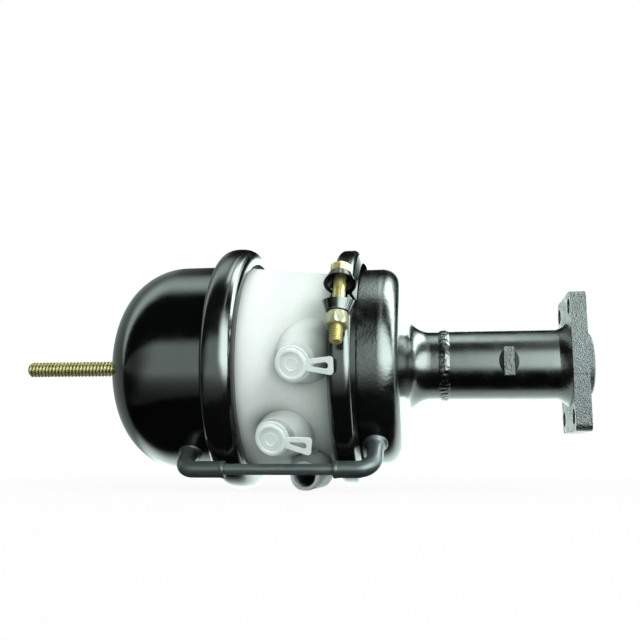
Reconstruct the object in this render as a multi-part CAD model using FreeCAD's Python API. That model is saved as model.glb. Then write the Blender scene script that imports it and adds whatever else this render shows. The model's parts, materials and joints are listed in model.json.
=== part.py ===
# Air brake chamber with a service diaphragm in front and a spring parking brake behind it.
# Sizes are millimetres. The origin is the centre of the mounting flange's face, +X leaves the
# face towards the brake that the chamber works, and +Z is up. The chamber lies along -X.
import FreeCAD, Part
import math
import os
from FreeCAD import Vector

os.makedirs("parts", exist_ok=True)

# Mounting flange, spigot and tube
flange_thickness = 12.6
flange_height = 112.0
flange_width = 68.6
flange_corner = 6.0
bolt_hole_dia = 12.5
bolt_pitch_y = 48.0
bolt_pitch_z = 89.0
side_pad_height = 23.0
side_pad_depth = 1.2
spigot_dia = 52.0
spigot_length = 6.0
spigot_chamfer = 1.0
flange_bore_dia = 42.0
tube_dia = 57.8
tube_wall = 5.0
tube_length = 100.4
flange_weld_leg = 5.5
flange_weld_reach = 10.0
tube_weld_width = 7.2
tube_weld_rise = 1.5
lug_from_flange = 53.0
lug_width = 8.6
lug_height = 23.0
lug_rise = 2.6

# Front housing, a pressed cup with a drawn neck
sheet = 3.0
neck_dia = 57.2
neck_length = 33.8
neck_blend = 18.0
housing_dia = 167.0
housing_depth = 43.6
housing_corner = 16.7
front_slope_deg = 12.0
housing_flare = 4.0

# Flange case, a casting with a web between its two air spaces
case_length = 95.6
case_rear_step = 1.7
case_front_dia = 159.0
case_wall = 5.2
case_flange_rear = 5.0
case_flange_front = 4.4
case_blend = 5.0
web_thickness = 8.0
web_behind_service_plane = 47.6
hub_dia = 50.0
hub_behind_web = 2.0
hub_before_web = 8.0

# Clamped rims. The clamps stand clear of the housings' sides and of the rims' edges.
bead = 3.0
band_sheet = 2.6
ring_side_gap = 1.5
ring_rim_gap = 2.6
parking_ring_width = 27.2
parking_ring_crown = 16.0
parking_ring_round = 6.0
band_side_gap = 5.9
band_rim_gap = 3.4
service_band_width = 21.8
service_band_crown = 14.0
service_band_round = 5.5

# Spring housing, a deep drawn dome
dome_depth = 112.0
dome_dia = 178.8
crown_radius = 150.8
knuckle_radius = 56.6
dome_flare = 4.0
stud_hole_dia = 19.0
stud_hole_lip = 4.0

# Clamp bolts, on the band's two splits
split_deg = 24.3
bolt_beyond_band = 8.7
bolt_dia = 9.6
bolt_head_af = 15.0
bolt_head_height = 6.8
bolt_end_beyond_nut = 13.0
nut_af = 16.0
nut_height = 10.8
upper_mouth = 7.5
upper_cup_depth = 9.3
upper_droop_deg = 9.0
lower_mouth = -9.0
lower_cup_depth = 12.3
lower_droop_deg = 19.0
cup_mouth_dia = 25.0
cup_neck_dia = 17.0
cup_fit = 0.5

# Air ports and the pocket for the release stud
port_tilt_deg = 20.0
port_lean_deg = 9.0
boss_dia = 30.0
boss_straight = 9.0
boss_neck_round = 12.0
boss_flare_dia = 46.0
boss_flare_depth = 22.0
boss_flare_round = 20.0
boss_root_dia = 58.0
boss_root_depth = 42.0
port_mouth_dia = 22.6
port_mouth_depth = 5.0
port_bore_dia = 20.4
port_bore_depth = 14.0
port_way_dia = 8.0
service_way_length = 24.0
parking_way_back = 17.0
parking_way_drop = 34.0
service_port_x = 34.4
service_port_side = 25.8
service_port_face = 98.6
parking_port_x = 53.5
parking_port_side = -33.0
parking_port_face = 96.1
pocket_x = 32.6
pocket_drop = 92.3
pocket_mouth_y = -55.0
pocket_length = 78.0
pocket_dia = 22.4
pocket_bore_dia = 17.4
pocket_bore_depth = 70.0
pocket_web = 15.0
pocket_web_setback = 16.0

# Port plugs
plug_flange_dia = 27.6
plug_flange_thickness = 1.6
plug_groove = 0.8
plug_disc_dia = 24.5
plug_disc_thickness = 2.0
plug_recess_dia = 18.6
plug_recess = 0.9
plug_stem_wall = 2.0
plug_stem_length = 4.8
plug_fit = 0.1
tab_reach = 32.3
tab_root_width = 8.0
tab_end_width = 14.5
tab_bar = 3.0
tab_thickness = 1.6
service_tab_deg = 0.0
parking_tab_deg = 7.0

# Breather line between the two dry spaces. It passes clear of whichever clamp stands out further.
pipe_dia = 8.6
pipe_wall = 1.5
elbow_dia = 12.9
collar_dia = 19.0
collar_height = 6.0
collar_wrap = 0.05
nipple_dia = 7.0
nipple_length = 9.0
vent_hole_dia = 9.0
rear_vent_x = 31.9
rear_vent_deg = -56.3
front_vent_x = 23.1
front_vent_deg = -52.7
line_deg = 51.5
line_gap = 7.9
line_band_gap = 12.1
line_rise = 1.4
elbow_leg_rear = 39.0
elbow_leg_front = 31.0
rear_bend = 9.0
front_bend = 13.0
pipe_in_elbow = 14.0

# Moving parts inside
play = 0.3
plate_at_rest = 32.0
plate_thickness = 5.0
plate_dia = 136.0
plate_rim_height = 7.0
plate_hub_dia = 32.0
plate_hub_length = 32.0
plate_hub_end = 4.0
slot_length = 25.0
slot_play = 0.3
adapter_plate_dia = 80.0
adapter_plate_thickness = 4.0
adapter_rod_dia = 28.0
guide_play = 0.05
guide_wall = 3.0
guide_length = 8.0
seal_length = 5.0
service_plate_dia = 120.0
service_plate_thickness = 4.5
service_plate_lip = 6.0
service_at_rest = 35.6
push_rod_dia = 22.0
push_rod_recess = 2.0
rod_guide_length = 16.0
stud_dia = 14.0
stud_out = 93.4
stud_tip_chamfer = 2.0
stud_head_length = 22.0
stud_head_width = 8.0
stud_head_relief = 2.0

# Springs, drawn as straight facets round the wire and along the coil
spring_sides = 8
spring_steps = 18
power_wire = 11.5
power_turns = 4.0
power_rear_dia = 82.0
power_front_dia = 118.0
return_wire = 4.5
return_turns = 6.0
return_small_dia = 44.0
return_large_dia = 112.0
inner_wire = 4.0
inner_turns = 5.0
inner_small_dia = 60.0
inner_large_dia = 108.0

# Places along the axis, each from the one before
x_flange_back = -flange_thickness
x_tube_end = x_flange_back - tube_length
x_front = x_tube_end - neck_length
x_service = x_front - housing_depth
x_parking = x_service - case_length
x_dome_end = x_parking - dome_depth
x_web_front = x_service - web_behind_service_plane
x_web_rear = x_web_front - web_thickness
x_plate = x_parking - plate_at_rest
x_service_plate = x_service - service_at_rest + bead

# Clamps, rims, bolts and breather line, from the housings that they belong to
parking_ring_base = dome_dia + 2 * ring_side_gap
parking_ring_dia = parking_ring_base + parking_ring_width
parking_rim_dia = parking_ring_dia - 2 * (sheet + ring_rim_gap)
case_rear_dia = dome_dia - 2 * case_rear_step
service_band_base = housing_dia + 2 * band_side_gap
service_band_dia = service_band_base + service_band_width
service_rim_dia = service_band_dia - 2 * (band_sheet + band_rim_gap)
bolt_reach = service_band_dia / 2 + bolt_beyond_band
upper_seat = upper_mouth + upper_cup_depth
lower_seat = lower_mouth - lower_cup_depth
line_reach = max(parking_ring_dia / 2 + line_gap, service_band_dia / 2 + line_band_gap)
AXIS = Vector(1, 0, 0)
CENTRE = Vector(0, 0, 0)


def rounded_edges(corners):
    """Edges round a closed outline. A corner is (x, y), or (x, y, rounding)."""
    ends = []
    count = len(corners)
    for i, corner in enumerate(corners):
        here = Vector(corner[0], corner[1], 0)
        rounding = corner[2] if len(corner) > 2 else 0
        if rounding == 0:
            ends.append((here, None, here))
            continue
        before = Vector(corners[i - 1][0], corners[i - 1][1], 0) - here
        after = Vector(corners[(i + 1) % count][0], corners[(i + 1) % count][1], 0) - here
        before.normalize()
        after.normalize()
        half = before.getAngle(after) / 2
        cut_back = rounding / math.tan(half)
        inward = before + after
        inward.normalize()
        middle = here + inward * (rounding / math.sin(half) - rounding)
        ends.append((here + before * cut_back, middle, here + after * cut_back))
    edges = []
    for i, (start, middle, end) in enumerate(ends):
        if middle is not None:
            edges.append(Part.Arc(start, middle, end).toShape())
        following = ends[(i + 1) % count][0]
        if (following - end).Length > 1e-6:
            edges.append(Part.LineSegment(end, following).toShape())
    return edges


def outline(corners):
    """A flat face inside a closed outline with rounded corners."""
    return Part.Face(Part.Wire(rounded_edges(corners)))


def turned(corners):
    """A body of revolution about the chamber's axis, from (x, radius) corners."""
    return outline(corners).revolve(CENTRE, AXIS, 360)


def disc(x, radius, length):
    """A round bar on the axis, from x towards +X."""
    return Part.makeCylinder(radius, length, Vector(x, 0, 0), AXIS)


def tube(x, outer, inner, length):
    return disc(x, outer, length).cut(disc(x, inner, length))


def around(phi_deg, radius, x=0.0):
    """A point at an angle about the axis, from -Y towards +Z."""
    phi = math.radians(phi_deg)
    return Vector(x, -radius * math.cos(phi), radius * math.sin(phi))


def aim(shape, place, direction):
    """A copy of a shape made along +X, laid along a direction from a place."""
    moved = shape.copy()
    moved.Placement = FreeCAD.Placement(place, FreeCAD.Rotation(AXIS, direction))
    return moved


def half_turn(shape):
    """The same shape on the far side of the axis."""
    copy = shape.copy()
    copy.rotate(CENTRE, AXIS, 180)
    return copy


def hexagon(across_flats, length):
    """A six-sided bar along +X with one corner towards +Z."""
    corner = across_flats / math.sqrt(3)
    points = [
        Vector(0, corner * math.sin(math.radians(60 * i)), corner * math.cos(math.radians(60 * i)))
        for i in range(7)
    ]
    bar = Part.Face(Part.makePolygon(points)).extrude(Vector(length, 0, 0))
    bevel = (corner - across_flats / 2) * 0.9
    soft = outline([(0, 0), (0, corner - bevel), (bevel * 0.6, corner), (length, corner), (length, 0)])
    return bar.common(soft.revolve(CENTRE, AXIS, 360))


def save(node, shape):
    shape.exportStep("parts/%s.step" % node)
    box = shape.BoundBox
    print("%-24s solids %d volume %9.0f x %7.1f %7.1f" % (
        node, len(shape.Solids), shape.Volume, box.XMin, box.XMax))


def line_point(x, rise=0.0):
    """A corner of the breather line, which runs past the clamp ring at one angle."""
    return around(-line_deg, line_reach, x) + Vector(0, 0, rise)


def vent(phi_deg, skin_radius, corner):
    """Where an elbow sits on a housing, and the direction of its neck."""
    seat = around(phi_deg, skin_radius, corner.x)
    outward = corner - seat
    outward.normalize()
    return seat, outward


def rear_vent():
    return vent(rear_vent_deg, dome_dia / 2, line_point(x_parking - rear_vent_x))


def front_vent():
    return vent(front_vent_deg, housing_dia / 2, line_point(x_service + front_vent_x, line_rise))


def vent_hole(seat, outward):
    return Part.makeCylinder(vent_hole_dia / 2, 4 * sheet, seat - outward * 2 * sheet, outward)


def mounting_flange():
    """Cast plate with a locating spigot, four bolt holes and a plain pad on each long side."""
    half_y = flange_width / 2
    half_z = flange_height / 2
    body_y = half_y - side_pad_depth
    corners = [
        (-body_y, -half_z, flange_corner), (body_y, -half_z, flange_corner),
        (body_y, half_z, flange_corner), (-body_y, half_z, flange_corner),
    ]
    plate = outline(corners).extrude(Vector(0, 0, flange_thickness))
    pad = Part.makeBox(flange_width, side_pad_height, flange_thickness)
    pad.translate(Vector(-half_y, -side_pad_height / 2, 0))
    plate = plate.fuse(pad)
    plate.rotate(CENTRE, Vector(0, 0, 1), 90)
    plate.rotate(CENTRE, Vector(0, 1, 0), 90)
    plate.rotate(CENTRE, AXIS, 180)
    box = plate.BoundBox
    plate.translate(Vector(-box.XMax, 0, 0))
    spigot = turned([
        (-1, 0), (-1, spigot_dia / 2), (spigot_length - spigot_chamfer, spigot_dia / 2),
        (spigot_length, spigot_dia / 2 - spigot_chamfer), (spigot_length, 0),
    ])
    plate = plate.fuse(spigot)
    for side in (-1, 1):
        for level in (-1, 1):
            place = Vector(x_flange_back - 1, side * bolt_pitch_y / 2, level * bolt_pitch_z / 2)
            plate = plate.cut(Part.makeCylinder(bolt_hole_dia / 2, flange_thickness + 2, place, AXIS))
    bore = disc(x_flange_back - 1, flange_bore_dia / 2, flange_thickness + spigot_length + 2)
    return plate.cut(bore).removeSplitter()


def mounting_tube():
    return tube(x_tube_end, tube_dia / 2, tube_dia / 2 - tube_wall, tube_length)


def flange_weld():
    """Fillet that flares from the tube to the flange."""
    radius = tube_dia / 2
    start = Vector(x_flange_back - flange_weld_reach, radius, 0)
    end = Vector(x_flange_back, radius + flange_weld_leg, 0)
    corner = Vector(x_flange_back, radius, 0)
    dip = start * 0.35 + end * 0.35 + corner * 0.3
    edges = [
        Part.Arc(start, dip, end).toShape(),
        Part.LineSegment(end, corner).toShape(),
        Part.LineSegment(corner, start).toShape(),
    ]
    return Part.Face(Part.Wire(edges)).revolve(CENTRE, AXIS, 360)


def tube_weld():
    """Bead over the butt joint of the neck and the tube."""
    radius = tube_dia / 2
    left = Vector(x_tube_end - tube_weld_width / 2, neck_dia / 2, 0)
    step_low = Vector(x_tube_end, neck_dia / 2, 0)
    step_high = Vector(x_tube_end, radius, 0)
    right = Vector(x_tube_end + tube_weld_width / 2, radius, 0)
    top = Vector(x_tube_end, radius + tube_weld_rise, 0)
    edges = [
        Part.LineSegment(left, step_low).toShape(),
        Part.LineSegment(step_low, step_high).toShape(),
        Part.LineSegment(step_high, right).toShape(),
        Part.Arc(right, top, left).toShape(),
    ]
    return Part.Face(Part.Wire(edges)).revolve(CENTRE, AXIS, 360)


def tube_lug():
    """Short cast lug on the near side of the tube."""
    radius = tube_dia / 2
    x = x_flange_back - lug_from_flange
    block = Part.makeBox(lug_width, radius + lug_rise, lug_height)
    block.translate(Vector(x, -(radius + lug_rise), -lug_height / 2))
    block = block.cut(disc(x - 1, radius, lug_width + 2))
    near = Part.makeBox(lug_width, radius, lug_height, Vector(x, -(radius + lug_rise), -lug_height / 2))
    return block.common(near)


def front_wall_x(radius, outside=True):
    """Place of the housing's sloping front wall at a radius."""
    slope = math.tan(math.radians(front_slope_deg))
    inward = 0 if outside else sheet / math.cos(math.radians(front_slope_deg))
    return x_front + (housing_dia / 2 - housing_corner - radius) * slope - inward


def service_housing():
    """Pressed front cup: clamped rim, round corner, sloping wall and drawn neck."""
    outer = housing_dia / 2
    rim_rear = x_service + bead / 2
    neck = neck_dia / 2
    corners = [
        (rim_rear, outer - sheet), (rim_rear, service_rim_dia / 2),
        (rim_rear + sheet, service_rim_dia / 2), (rim_rear + sheet, outer, housing_flare),
        (front_wall_x(outer), outer, housing_corner), (front_wall_x(neck), neck, neck_blend),
        (x_tube_end, neck), (x_tube_end, tube_dia / 2 - tube_wall),
        (front_wall_x(tube_dia / 2 - tube_wall, False), tube_dia / 2 - tube_wall, neck_blend + sheet),
        (front_wall_x(outer - sheet, False), outer - sheet, housing_corner - sheet),
    ]
    seat, outward = front_vent()
    return turned(corners).cut(vent_hole(seat, outward))


def port_direction():
    """Out of a port: away from the axis, a little down, and leaning towards the rear."""
    lean = math.radians(port_lean_deg)
    return around(-port_tilt_deg, math.cos(lean), -math.sin(lean))


def port_place(x_behind, side, reach, depth=0.0):
    """A point on a port's axis, at a depth below its face, which is a distance from the axis."""
    across = around(90 - port_tilt_deg, 1)
    face = across * side + around(-port_tilt_deg, reach, x_service - x_behind)
    return face - port_direction() * depth


def case_rear_inside():
    return case_rear_dia / 2 - case_wall


def case_front_inside():
    return case_front_dia / 2 - case_wall


def case_body():
    """Outer form of the casting, solid, with its two clamped rims."""
    rear = x_parking + bead / 2
    front = x_service - bead / 2
    return turned([
        (rear, 0), (rear, parking_rim_dia / 2), (rear + case_flange_rear, parking_rim_dia / 2),
        (rear + case_flange_rear, case_rear_dia / 2, case_blend),
        (front - case_flange_front, case_front_dia / 2, case_blend),
        (front - case_flange_front, service_rim_dia / 2), (front, service_rim_dia / 2), (front, 0),
    ])


def port_boss(x_behind, side, face):
    """Round boss that flares widely into the case, from its face inwards."""
    boss = outline([
        (0, 0), (0, boss_dia / 2, 1.0), (boss_straight, boss_dia / 2, boss_neck_round),
        (boss_flare_depth, boss_flare_dia / 2, boss_flare_round), (boss_root_depth, boss_root_dia / 2),
        (boss_root_depth, 0),
    ]).revolve(CENTRE, AXIS, 360)
    boss = aim(boss, port_place(x_behind, side, face), port_direction() * -1)
    rear = x_parking + bead / 2 + case_flange_rear
    front = x_service - bead / 2 - case_flange_front
    return boss.common(disc(rear, face, front - rear))


def port_hole(x_behind, side, face):
    """Threaded hole with a wider mouth that the plug's stem sits in."""
    inward = port_direction() * -1
    mouth = Part.makeCylinder(
        port_mouth_dia / 2, port_mouth_depth + 1, port_place(x_behind, side, face, -1), inward)
    thread = Part.makeCylinder(
        port_bore_dia / 2, port_mouth_depth + port_bore_depth, port_place(x_behind, side, face), inward)
    return mouth.fuse(thread)


def port_ways():
    """Drillings from the two ports into the service space and the parking space."""
    start = port_mouth_depth + port_bore_depth - 1
    service_start = port_place(service_port_x, service_port_side, service_port_face, start)
    service_way = Part.makeCylinder(
        port_way_dia / 2, service_way_length, service_start, port_direction() * -1)
    parking_start = port_place(parking_port_x, parking_port_side, parking_port_face, start)
    parking_end = port_place(
        parking_port_x + parking_way_back, parking_port_side, parking_port_face - parking_way_drop)
    run = parking_end - parking_start
    return [service_way, Part.makeCylinder(port_way_dia / 2, run.Length, parking_start, run)]


def stud_pocket():
    """Round boss under the case, open towards the near side, on a web down from the case."""
    x = x_service - pocket_x
    boss = Part.makeCylinder(
        pocket_dia / 2, pocket_length, Vector(x, pocket_mouth_y, -pocket_drop), Vector(0, 1, 0))
    corner = Vector(x - pocket_web / 2, pocket_mouth_y + pocket_web_setback, -pocket_drop)
    web = Part.makeBox(pocket_web, pocket_length - pocket_web_setback, pocket_drop, corner)
    return boss.fuse(web)


def flange_case():
    """Cast middle section with a web and hub, two threaded ports and the stud pocket."""
    rear = x_parking + bead / 2
    front = x_service - bead / 2
    ports = [
        (service_port_x, service_port_side, service_port_face),
        (parking_port_x, parking_port_side, parking_port_face),
    ]
    case = case_body().fuse(stud_pocket())
    for port in ports:
        case = case.fuse(port_boss(*port))
    rear_space = turned([
        (rear - 1, 0), (rear - 1, case_rear_inside()), (x_web_rear, case_rear_inside() - 3, 10.0),
        (x_web_rear, hub_dia / 2 + 4, 4.0), (x_web_rear - hub_behind_web, hub_dia / 2),
        (x_web_rear - hub_behind_web, 0),
    ])
    front_space = turned([
        (front + 1, 0), (front + 1, case_front_inside()), (x_web_front, case_front_inside() - 1, 8.0),
        (x_web_front, hub_dia / 2 + 4, 4.0), (x_web_front + hub_before_web, hub_dia / 2),
        (x_web_front + hub_before_web, 0),
    ])
    hub_length = hub_behind_web + web_thickness + hub_before_web
    bore = adapter_rod_dia / 2 + guide_play + guide_wall
    rooms = [rear_space, front_space, disc(x_web_rear - hub_behind_web - 1, bore, hub_length + 2)]
    rooms += [port_hole(*port) for port in ports]
    rooms += port_ways()
    mouth = Vector(x_service - pocket_x, pocket_mouth_y - 1, -pocket_drop)
    rooms.append(Part.makeCylinder(
        pocket_bore_dia / 2, pocket_bore_depth + 1, mouth, Vector(0, 1, 0)))
    for room in rooms:
        case = case.cut(room)
    return case.removeSplitter()


def case_guide():
    """Plastic bush that guides the adapter rod in the web's hub."""
    rod = adapter_rod_dia / 2 + guide_play
    return tube(x_web_rear - hub_behind_web, rod + guide_wall, rod, guide_length)


def rod_seals():
    """Two sealing rings beside the guide, kept apart by a short step."""
    rod = adapter_rod_dia / 2 + play
    start = x_web_rear - hub_behind_web + guide_length
    outer = adapter_rod_dia / 2 + guide_play + guide_wall
    rings = [tube(start + i * seal_length, outer, rod, seal_length - play) for i in range(2)]
    return Part.makeCompound(rings)


def dome_edges(wall):
    """Half outline of the dome at a depth below its outer skin, from the axis to the rim."""
    crown = crown_radius - wall
    knuckle = knuckle_radius - wall
    radius = dome_dia / 2 - wall
    crown_centre = x_dome_end + crown_radius
    offset = dome_dia / 2 - knuckle_radius
    reach = math.sqrt((crown_radius - knuckle_radius) ** 2 - offset ** 2)
    knuckle_x = crown_centre - reach
    join = math.atan2(offset, reach)
    start = Vector(crown_centre - crown, 0, 0)
    crown_middle = Vector(crown_centre - crown * math.cos(join / 2), crown * math.sin(join / 2), 0)
    crown_end = Vector(crown_centre - crown * math.cos(join), crown * math.sin(join), 0)
    turn = (join + math.pi / 2) / 2
    knuckle_middle = Vector(knuckle_x - knuckle * math.cos(turn), offset + knuckle * math.sin(turn), 0)
    knuckle_end = Vector(knuckle_x, radius, 0)
    return [
        Part.Arc(start, crown_middle, crown_end).toShape(),
        Part.Arc(crown_end, knuckle_middle, knuckle_end).toShape(),
    ], start, knuckle_end


def dome_solid(wall, end_x):
    """Solid dome at a depth below the outer skin, closed at a plane."""
    arcs, start, side = dome_edges(wall)
    corner = Vector(end_x, side.y, 0)
    foot = Vector(end_x, 0, 0)
    edges = arcs + [
        Part.LineSegment(side, corner).toShape(),
        Part.LineSegment(corner, foot).toShape(),
        Part.LineSegment(foot, start).toShape(),
    ]
    return Part.Face(Part.Wire(edges)).revolve(CENTRE, AXIS, 360)


def spring_housing():
    """Deep drawn dome with a clamped rim, a flanged stud hole and a vent."""
    rim_front = x_parking - bead / 2
    outer = dome_dia / 2
    rim = turned([
        (rim_front - sheet, outer - sheet / 2), (rim_front - sheet, parking_rim_dia / 2),
        (rim_front, parking_rim_dia / 2), (rim_front, outer - sheet / 2),
    ])
    flare = outline([
        (rim_front - sheet - dome_flare, outer), (rim_front - sheet, outer),
        (rim_front - sheet, outer + dome_flare),
    ]).revolve(CENTRE, AXIS, 360)
    shell = dome_solid(0, rim_front).fuse(rim).fuse(flare)
    lip = disc(x_dome_end + 1, stud_hole_dia / 2 + sheet, stud_hole_lip + sheet)
    shell = shell.cut(dome_solid(sheet, rim_front + 1)).fuse(lip)
    shell = shell.cut(disc(x_dome_end - 1, stud_hole_dia / 2, stud_hole_lip + sheet + 20))
    seat, outward = rear_vent()
    return shell.cut(vent_hole(seat, outward)).removeSplitter()


def channel(x_middle, base_dia, crown_dia, width, crown_width, rounding, wall):
    """Corners of a rolled clamp's section: two leaning sides and a rounded crown, open below."""
    base = base_dia / 2
    top = crown_dia / 2
    half = width / 2
    lean = (half - crown_width / 2) / (top - base)
    inner = half - wall * math.hypot(1, lean)
    inner_crown = inner - lean * (top - wall - base)
    outer_side = [(-half, base), (-crown_width / 2, top, rounding)]
    inner_side = [(inner, base), (inner_crown, top - wall, rounding - wall)]
    outer_side += [(-corner[0],) + corner[1:] for corner in reversed(outer_side)]
    inner_side += [(-corner[0],) + corner[1:] for corner in reversed(inner_side)]
    corners = outer_side + inner_side
    return [(x_middle + corner[0],) + corner[1:] for corner in corners]


def parking_clamp_ring():
    """Ring rolled over the rims of the spring housing and the case, closed all round."""
    return turned(channel(
        x_parking, parking_ring_base, parking_ring_dia, parking_ring_width, parking_ring_crown,
        parking_ring_round, sheet))


def band_channel():
    return channel(
        x_service, service_band_base, service_band_dia, service_band_width, service_band_crown,
        service_band_round, band_sheet)


def split_place(along_bolt):
    """A point on the near clamp bolt's axis, measured upwards from the band's split."""
    return around(split_deg, bolt_reach, x_service) + around(90 + split_deg, along_bolt)


def cup(seat, mouth, droop_deg):
    """Pressed ear of the band: a flat seat for the bolt and a wide mouth whose outer lip droops."""
    depth = abs(mouth - seat)
    spare = cup_mouth_dia / 2 * math.tan(math.radians(droop_deg))
    neck = cup_neck_dia / 2
    wide = cup_mouth_dia / 2
    body = outline([
        (0, bolt_dia / 2 + cup_fit), (0, neck, 2.0), (depth, wide), (depth + spare, wide),
        (depth + spare, wide - band_sheet), (depth, wide - band_sheet),
        (band_sheet, neck - band_sheet + 1.0), (band_sheet, bolt_dia / 2 + cup_fit),
    ]).revolve(CENTRE, AXIS, 360)
    opening = 1 if mouth > seat else -1
    body = aim(body, split_place(seat), around(90 + split_deg, opening))
    away = around(90 + split_deg - opening * droop_deg, opening)
    beyond = Part.makeCylinder(cup_mouth_dia, cup_mouth_dia, split_place(mouth), away)
    return body.cut(beyond)


def bolt_way():
    """Clearance for the near bolt through both ears and the band beside them."""
    reach = 2 * upper_seat
    return Part.makeCylinder(
        bolt_dia / 2 + cup_fit, 2 * reach, split_place(-reach), around(90 + split_deg, 1))


def band_half():
    """Upper half of the service clamp, with an upper ear at the near split and a lower one behind."""
    near_cup = cup(upper_seat, upper_mouth, upper_droop_deg)
    far_cup = half_turn(cup(lower_seat, lower_mouth, lower_droop_deg))
    near_gap = math.degrees(upper_mouth / bolt_reach)
    far_gap = math.degrees(-lower_mouth / bolt_reach)
    section = outline(band_channel())
    section.rotate(CENTRE, AXIS, far_gap - split_deg)
    arc = section.revolve(CENTRE, AXIS, 180 - far_gap - near_gap)
    half = arc.fuse(near_cup).fuse(far_cup)
    half = half.cut(bolt_way()).cut(half_turn(bolt_way()))
    return half.cut(channel_room())


def channel_room():
    """The space inside the band that the clamped rims fill, down to the axis."""
    inside = band_channel()[4:]
    foot = [(inside[-1][0], 0), (inside[0][0], 0)]
    return turned(inside + foot)


def clamp_bolt():
    """Hexagon bolt through both ears, its head on the upper one."""
    down = around(90 + split_deg, -1)
    head = aim(hexagon(bolt_head_af, bolt_head_height), split_place(upper_seat + bolt_head_height), down)
    radius = bolt_dia / 2
    length = upper_seat - lower_seat + nut_height + bolt_end_beyond_nut
    shank = outline([
        (0, 0), (0, radius), (length - 1, radius), (length, radius - 1), (length, 0),
    ]).revolve(CENTRE, AXIS, 360)
    return head.fuse(aim(shank, split_place(upper_seat), down)).removeSplitter()


def clamp_nut():
    """Hexagon nut under the lower ear."""
    nut = hexagon(nut_af, nut_height).cut(disc(-1, bolt_dia / 2 + guide_play, nut_height + 2))
    return aim(nut, split_place(lower_seat - nut_height), around(90 + split_deg, 1))


def parking_diaphragm():
    """Moulded cup clamped between the spring housing and the case, pushed back by air."""
    rear = x_parking - bead / 2
    front = x_parking + bead / 2
    rim = parking_rim_dia / 2 - 1.5
    wide = case_rear_inside() - 1.5
    narrow = plate_dia / 2 + 2
    return turned([
        (front, rim), (front, wide - bead), (x_plate + bead, narrow - bead), (x_plate + bead, 0),
        (x_plate, 0), (x_plate, narrow), (rear, wide), (rear, rim),
    ])


def service_diaphragm():
    """Moulded cup clamped between the case and the front housing, at rest behind its rim."""
    rear = x_service - bead / 2
    front = x_service + bead / 2
    rim = service_rim_dia / 2 - 1.5
    wide = case_front_inside() - 1.5
    narrow = service_plate_dia / 2 + 4
    return turned([
        (front, rim), (front, wide - bead), (x_service_plate, narrow - bead), (x_service_plate, 0),
        (x_service_plate - bead, 0), (x_service_plate - bead, narrow), (rear, wide), (rear, rim),
    ])


def pressure_plate():
    """Plate that the power spring pushes, with a slotted hub for the release stud."""
    rim = plate_dia / 2
    hub = plate_hub_dia / 2
    back = x_plate - plate_hub_length
    plate = turned([
        (x_plate, 0), (x_plate, rim, 2.0), (x_plate - plate_thickness - plate_rim_height, rim),
        (x_plate - plate_thickness - plate_rim_height, rim - 2.5), (x_plate - plate_thickness, rim - 4),
        (x_plate - plate_thickness, hub + 3, 3.0), (back, hub, 1.5), (back, 0),
    ])
    room = math.hypot(stud_head_length, stud_dia - stud_head_relief) / 2 + play
    plate = plate.cut(disc(back + plate_hub_end, room, plate_hub_length - plate_hub_end - plate_thickness))
    slot_width = stud_dia + 2 * slot_play
    slot = Part.makeBox(plate_hub_end + 2, slot_width, slot_length)
    slot.translate(Vector(back - 1, -slot_width / 2, -slot_length / 2))
    return plate.cut(slot)


def release_stud():
    """Long threaded stud, its cross head held behind the slot of the pressure plate."""
    head_rear = x_plate - plate_hub_length + plate_hub_end + play
    tip = x_dome_end - stud_out
    bar = turned([
        (tip, 0), (tip, stud_dia / 2 - stud_tip_chamfer), (tip + stud_tip_chamfer, stud_dia / 2),
        (head_rear + stud_head_width, stud_dia / 2), (head_rear + stud_head_width, 0),
    ])
    head_depth = stud_dia - stud_head_relief
    head = Part.makeBox(stud_head_width, stud_head_length, head_depth)
    head.translate(Vector(head_rear, -stud_head_length / 2, -head_depth / 2))
    return bar.fuse(head).removeSplitter()


def parking_push_rod():
    """Adapter rod with a plate, between the parking diaphragm and the service diaphragm."""
    start = x_plate + bead
    end = x_service_plate - bead - play
    radius = adapter_rod_dia / 2
    plate = adapter_plate_dia / 2
    return turned([
        (start, 0), (start, plate), (start + adapter_plate_thickness, plate, 1.5),
        (start + adapter_plate_thickness, radius, 3.0), (end - 1.5, radius), (end, radius - 1.5), (end, 0),
    ])


def service_push_plate():
    """Round plate with a rolled lip, bored for the push rod."""
    x = x_service_plate
    rim = service_plate_dia / 2
    rod = push_rod_dia / 2
    return turned([
        (x, rod), (x, rim, 3.0), (x + service_plate_lip, rim + 1.5), (x + service_plate_lip, rim - 2),
        (x + service_plate_thickness, rim - 5, 2.0), (x + service_plate_thickness, rod + 8),
        (x + 2 * service_plate_thickness, rod + 4), (x + 2 * service_plate_thickness, rod),
    ])


def service_push_rod():
    """Rod from the push plate to the mouth of the spigot."""
    radius = push_rod_dia / 2
    return turned([
        (x_service_plate, 0), (x_service_plate, radius), (-push_rod_recess - 2, radius),
        (-push_rod_recess, radius - 2), (-push_rod_recess, 0),
    ])


def push_rod_guide():
    """Bush in the flange that the push rod runs in, with a small end flange."""
    start = spigot_length - rod_guide_length
    return tube(start, flange_bore_dia / 2, push_rod_dia / 2 + guide_play, rod_guide_length)


def wire_reach(wire):
    """Corner radius of the facetted wire that has the round wire's area."""
    part = 2 * math.pi / spring_sides
    return wire / 2 * math.sqrt(part / math.sin(part))


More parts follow.
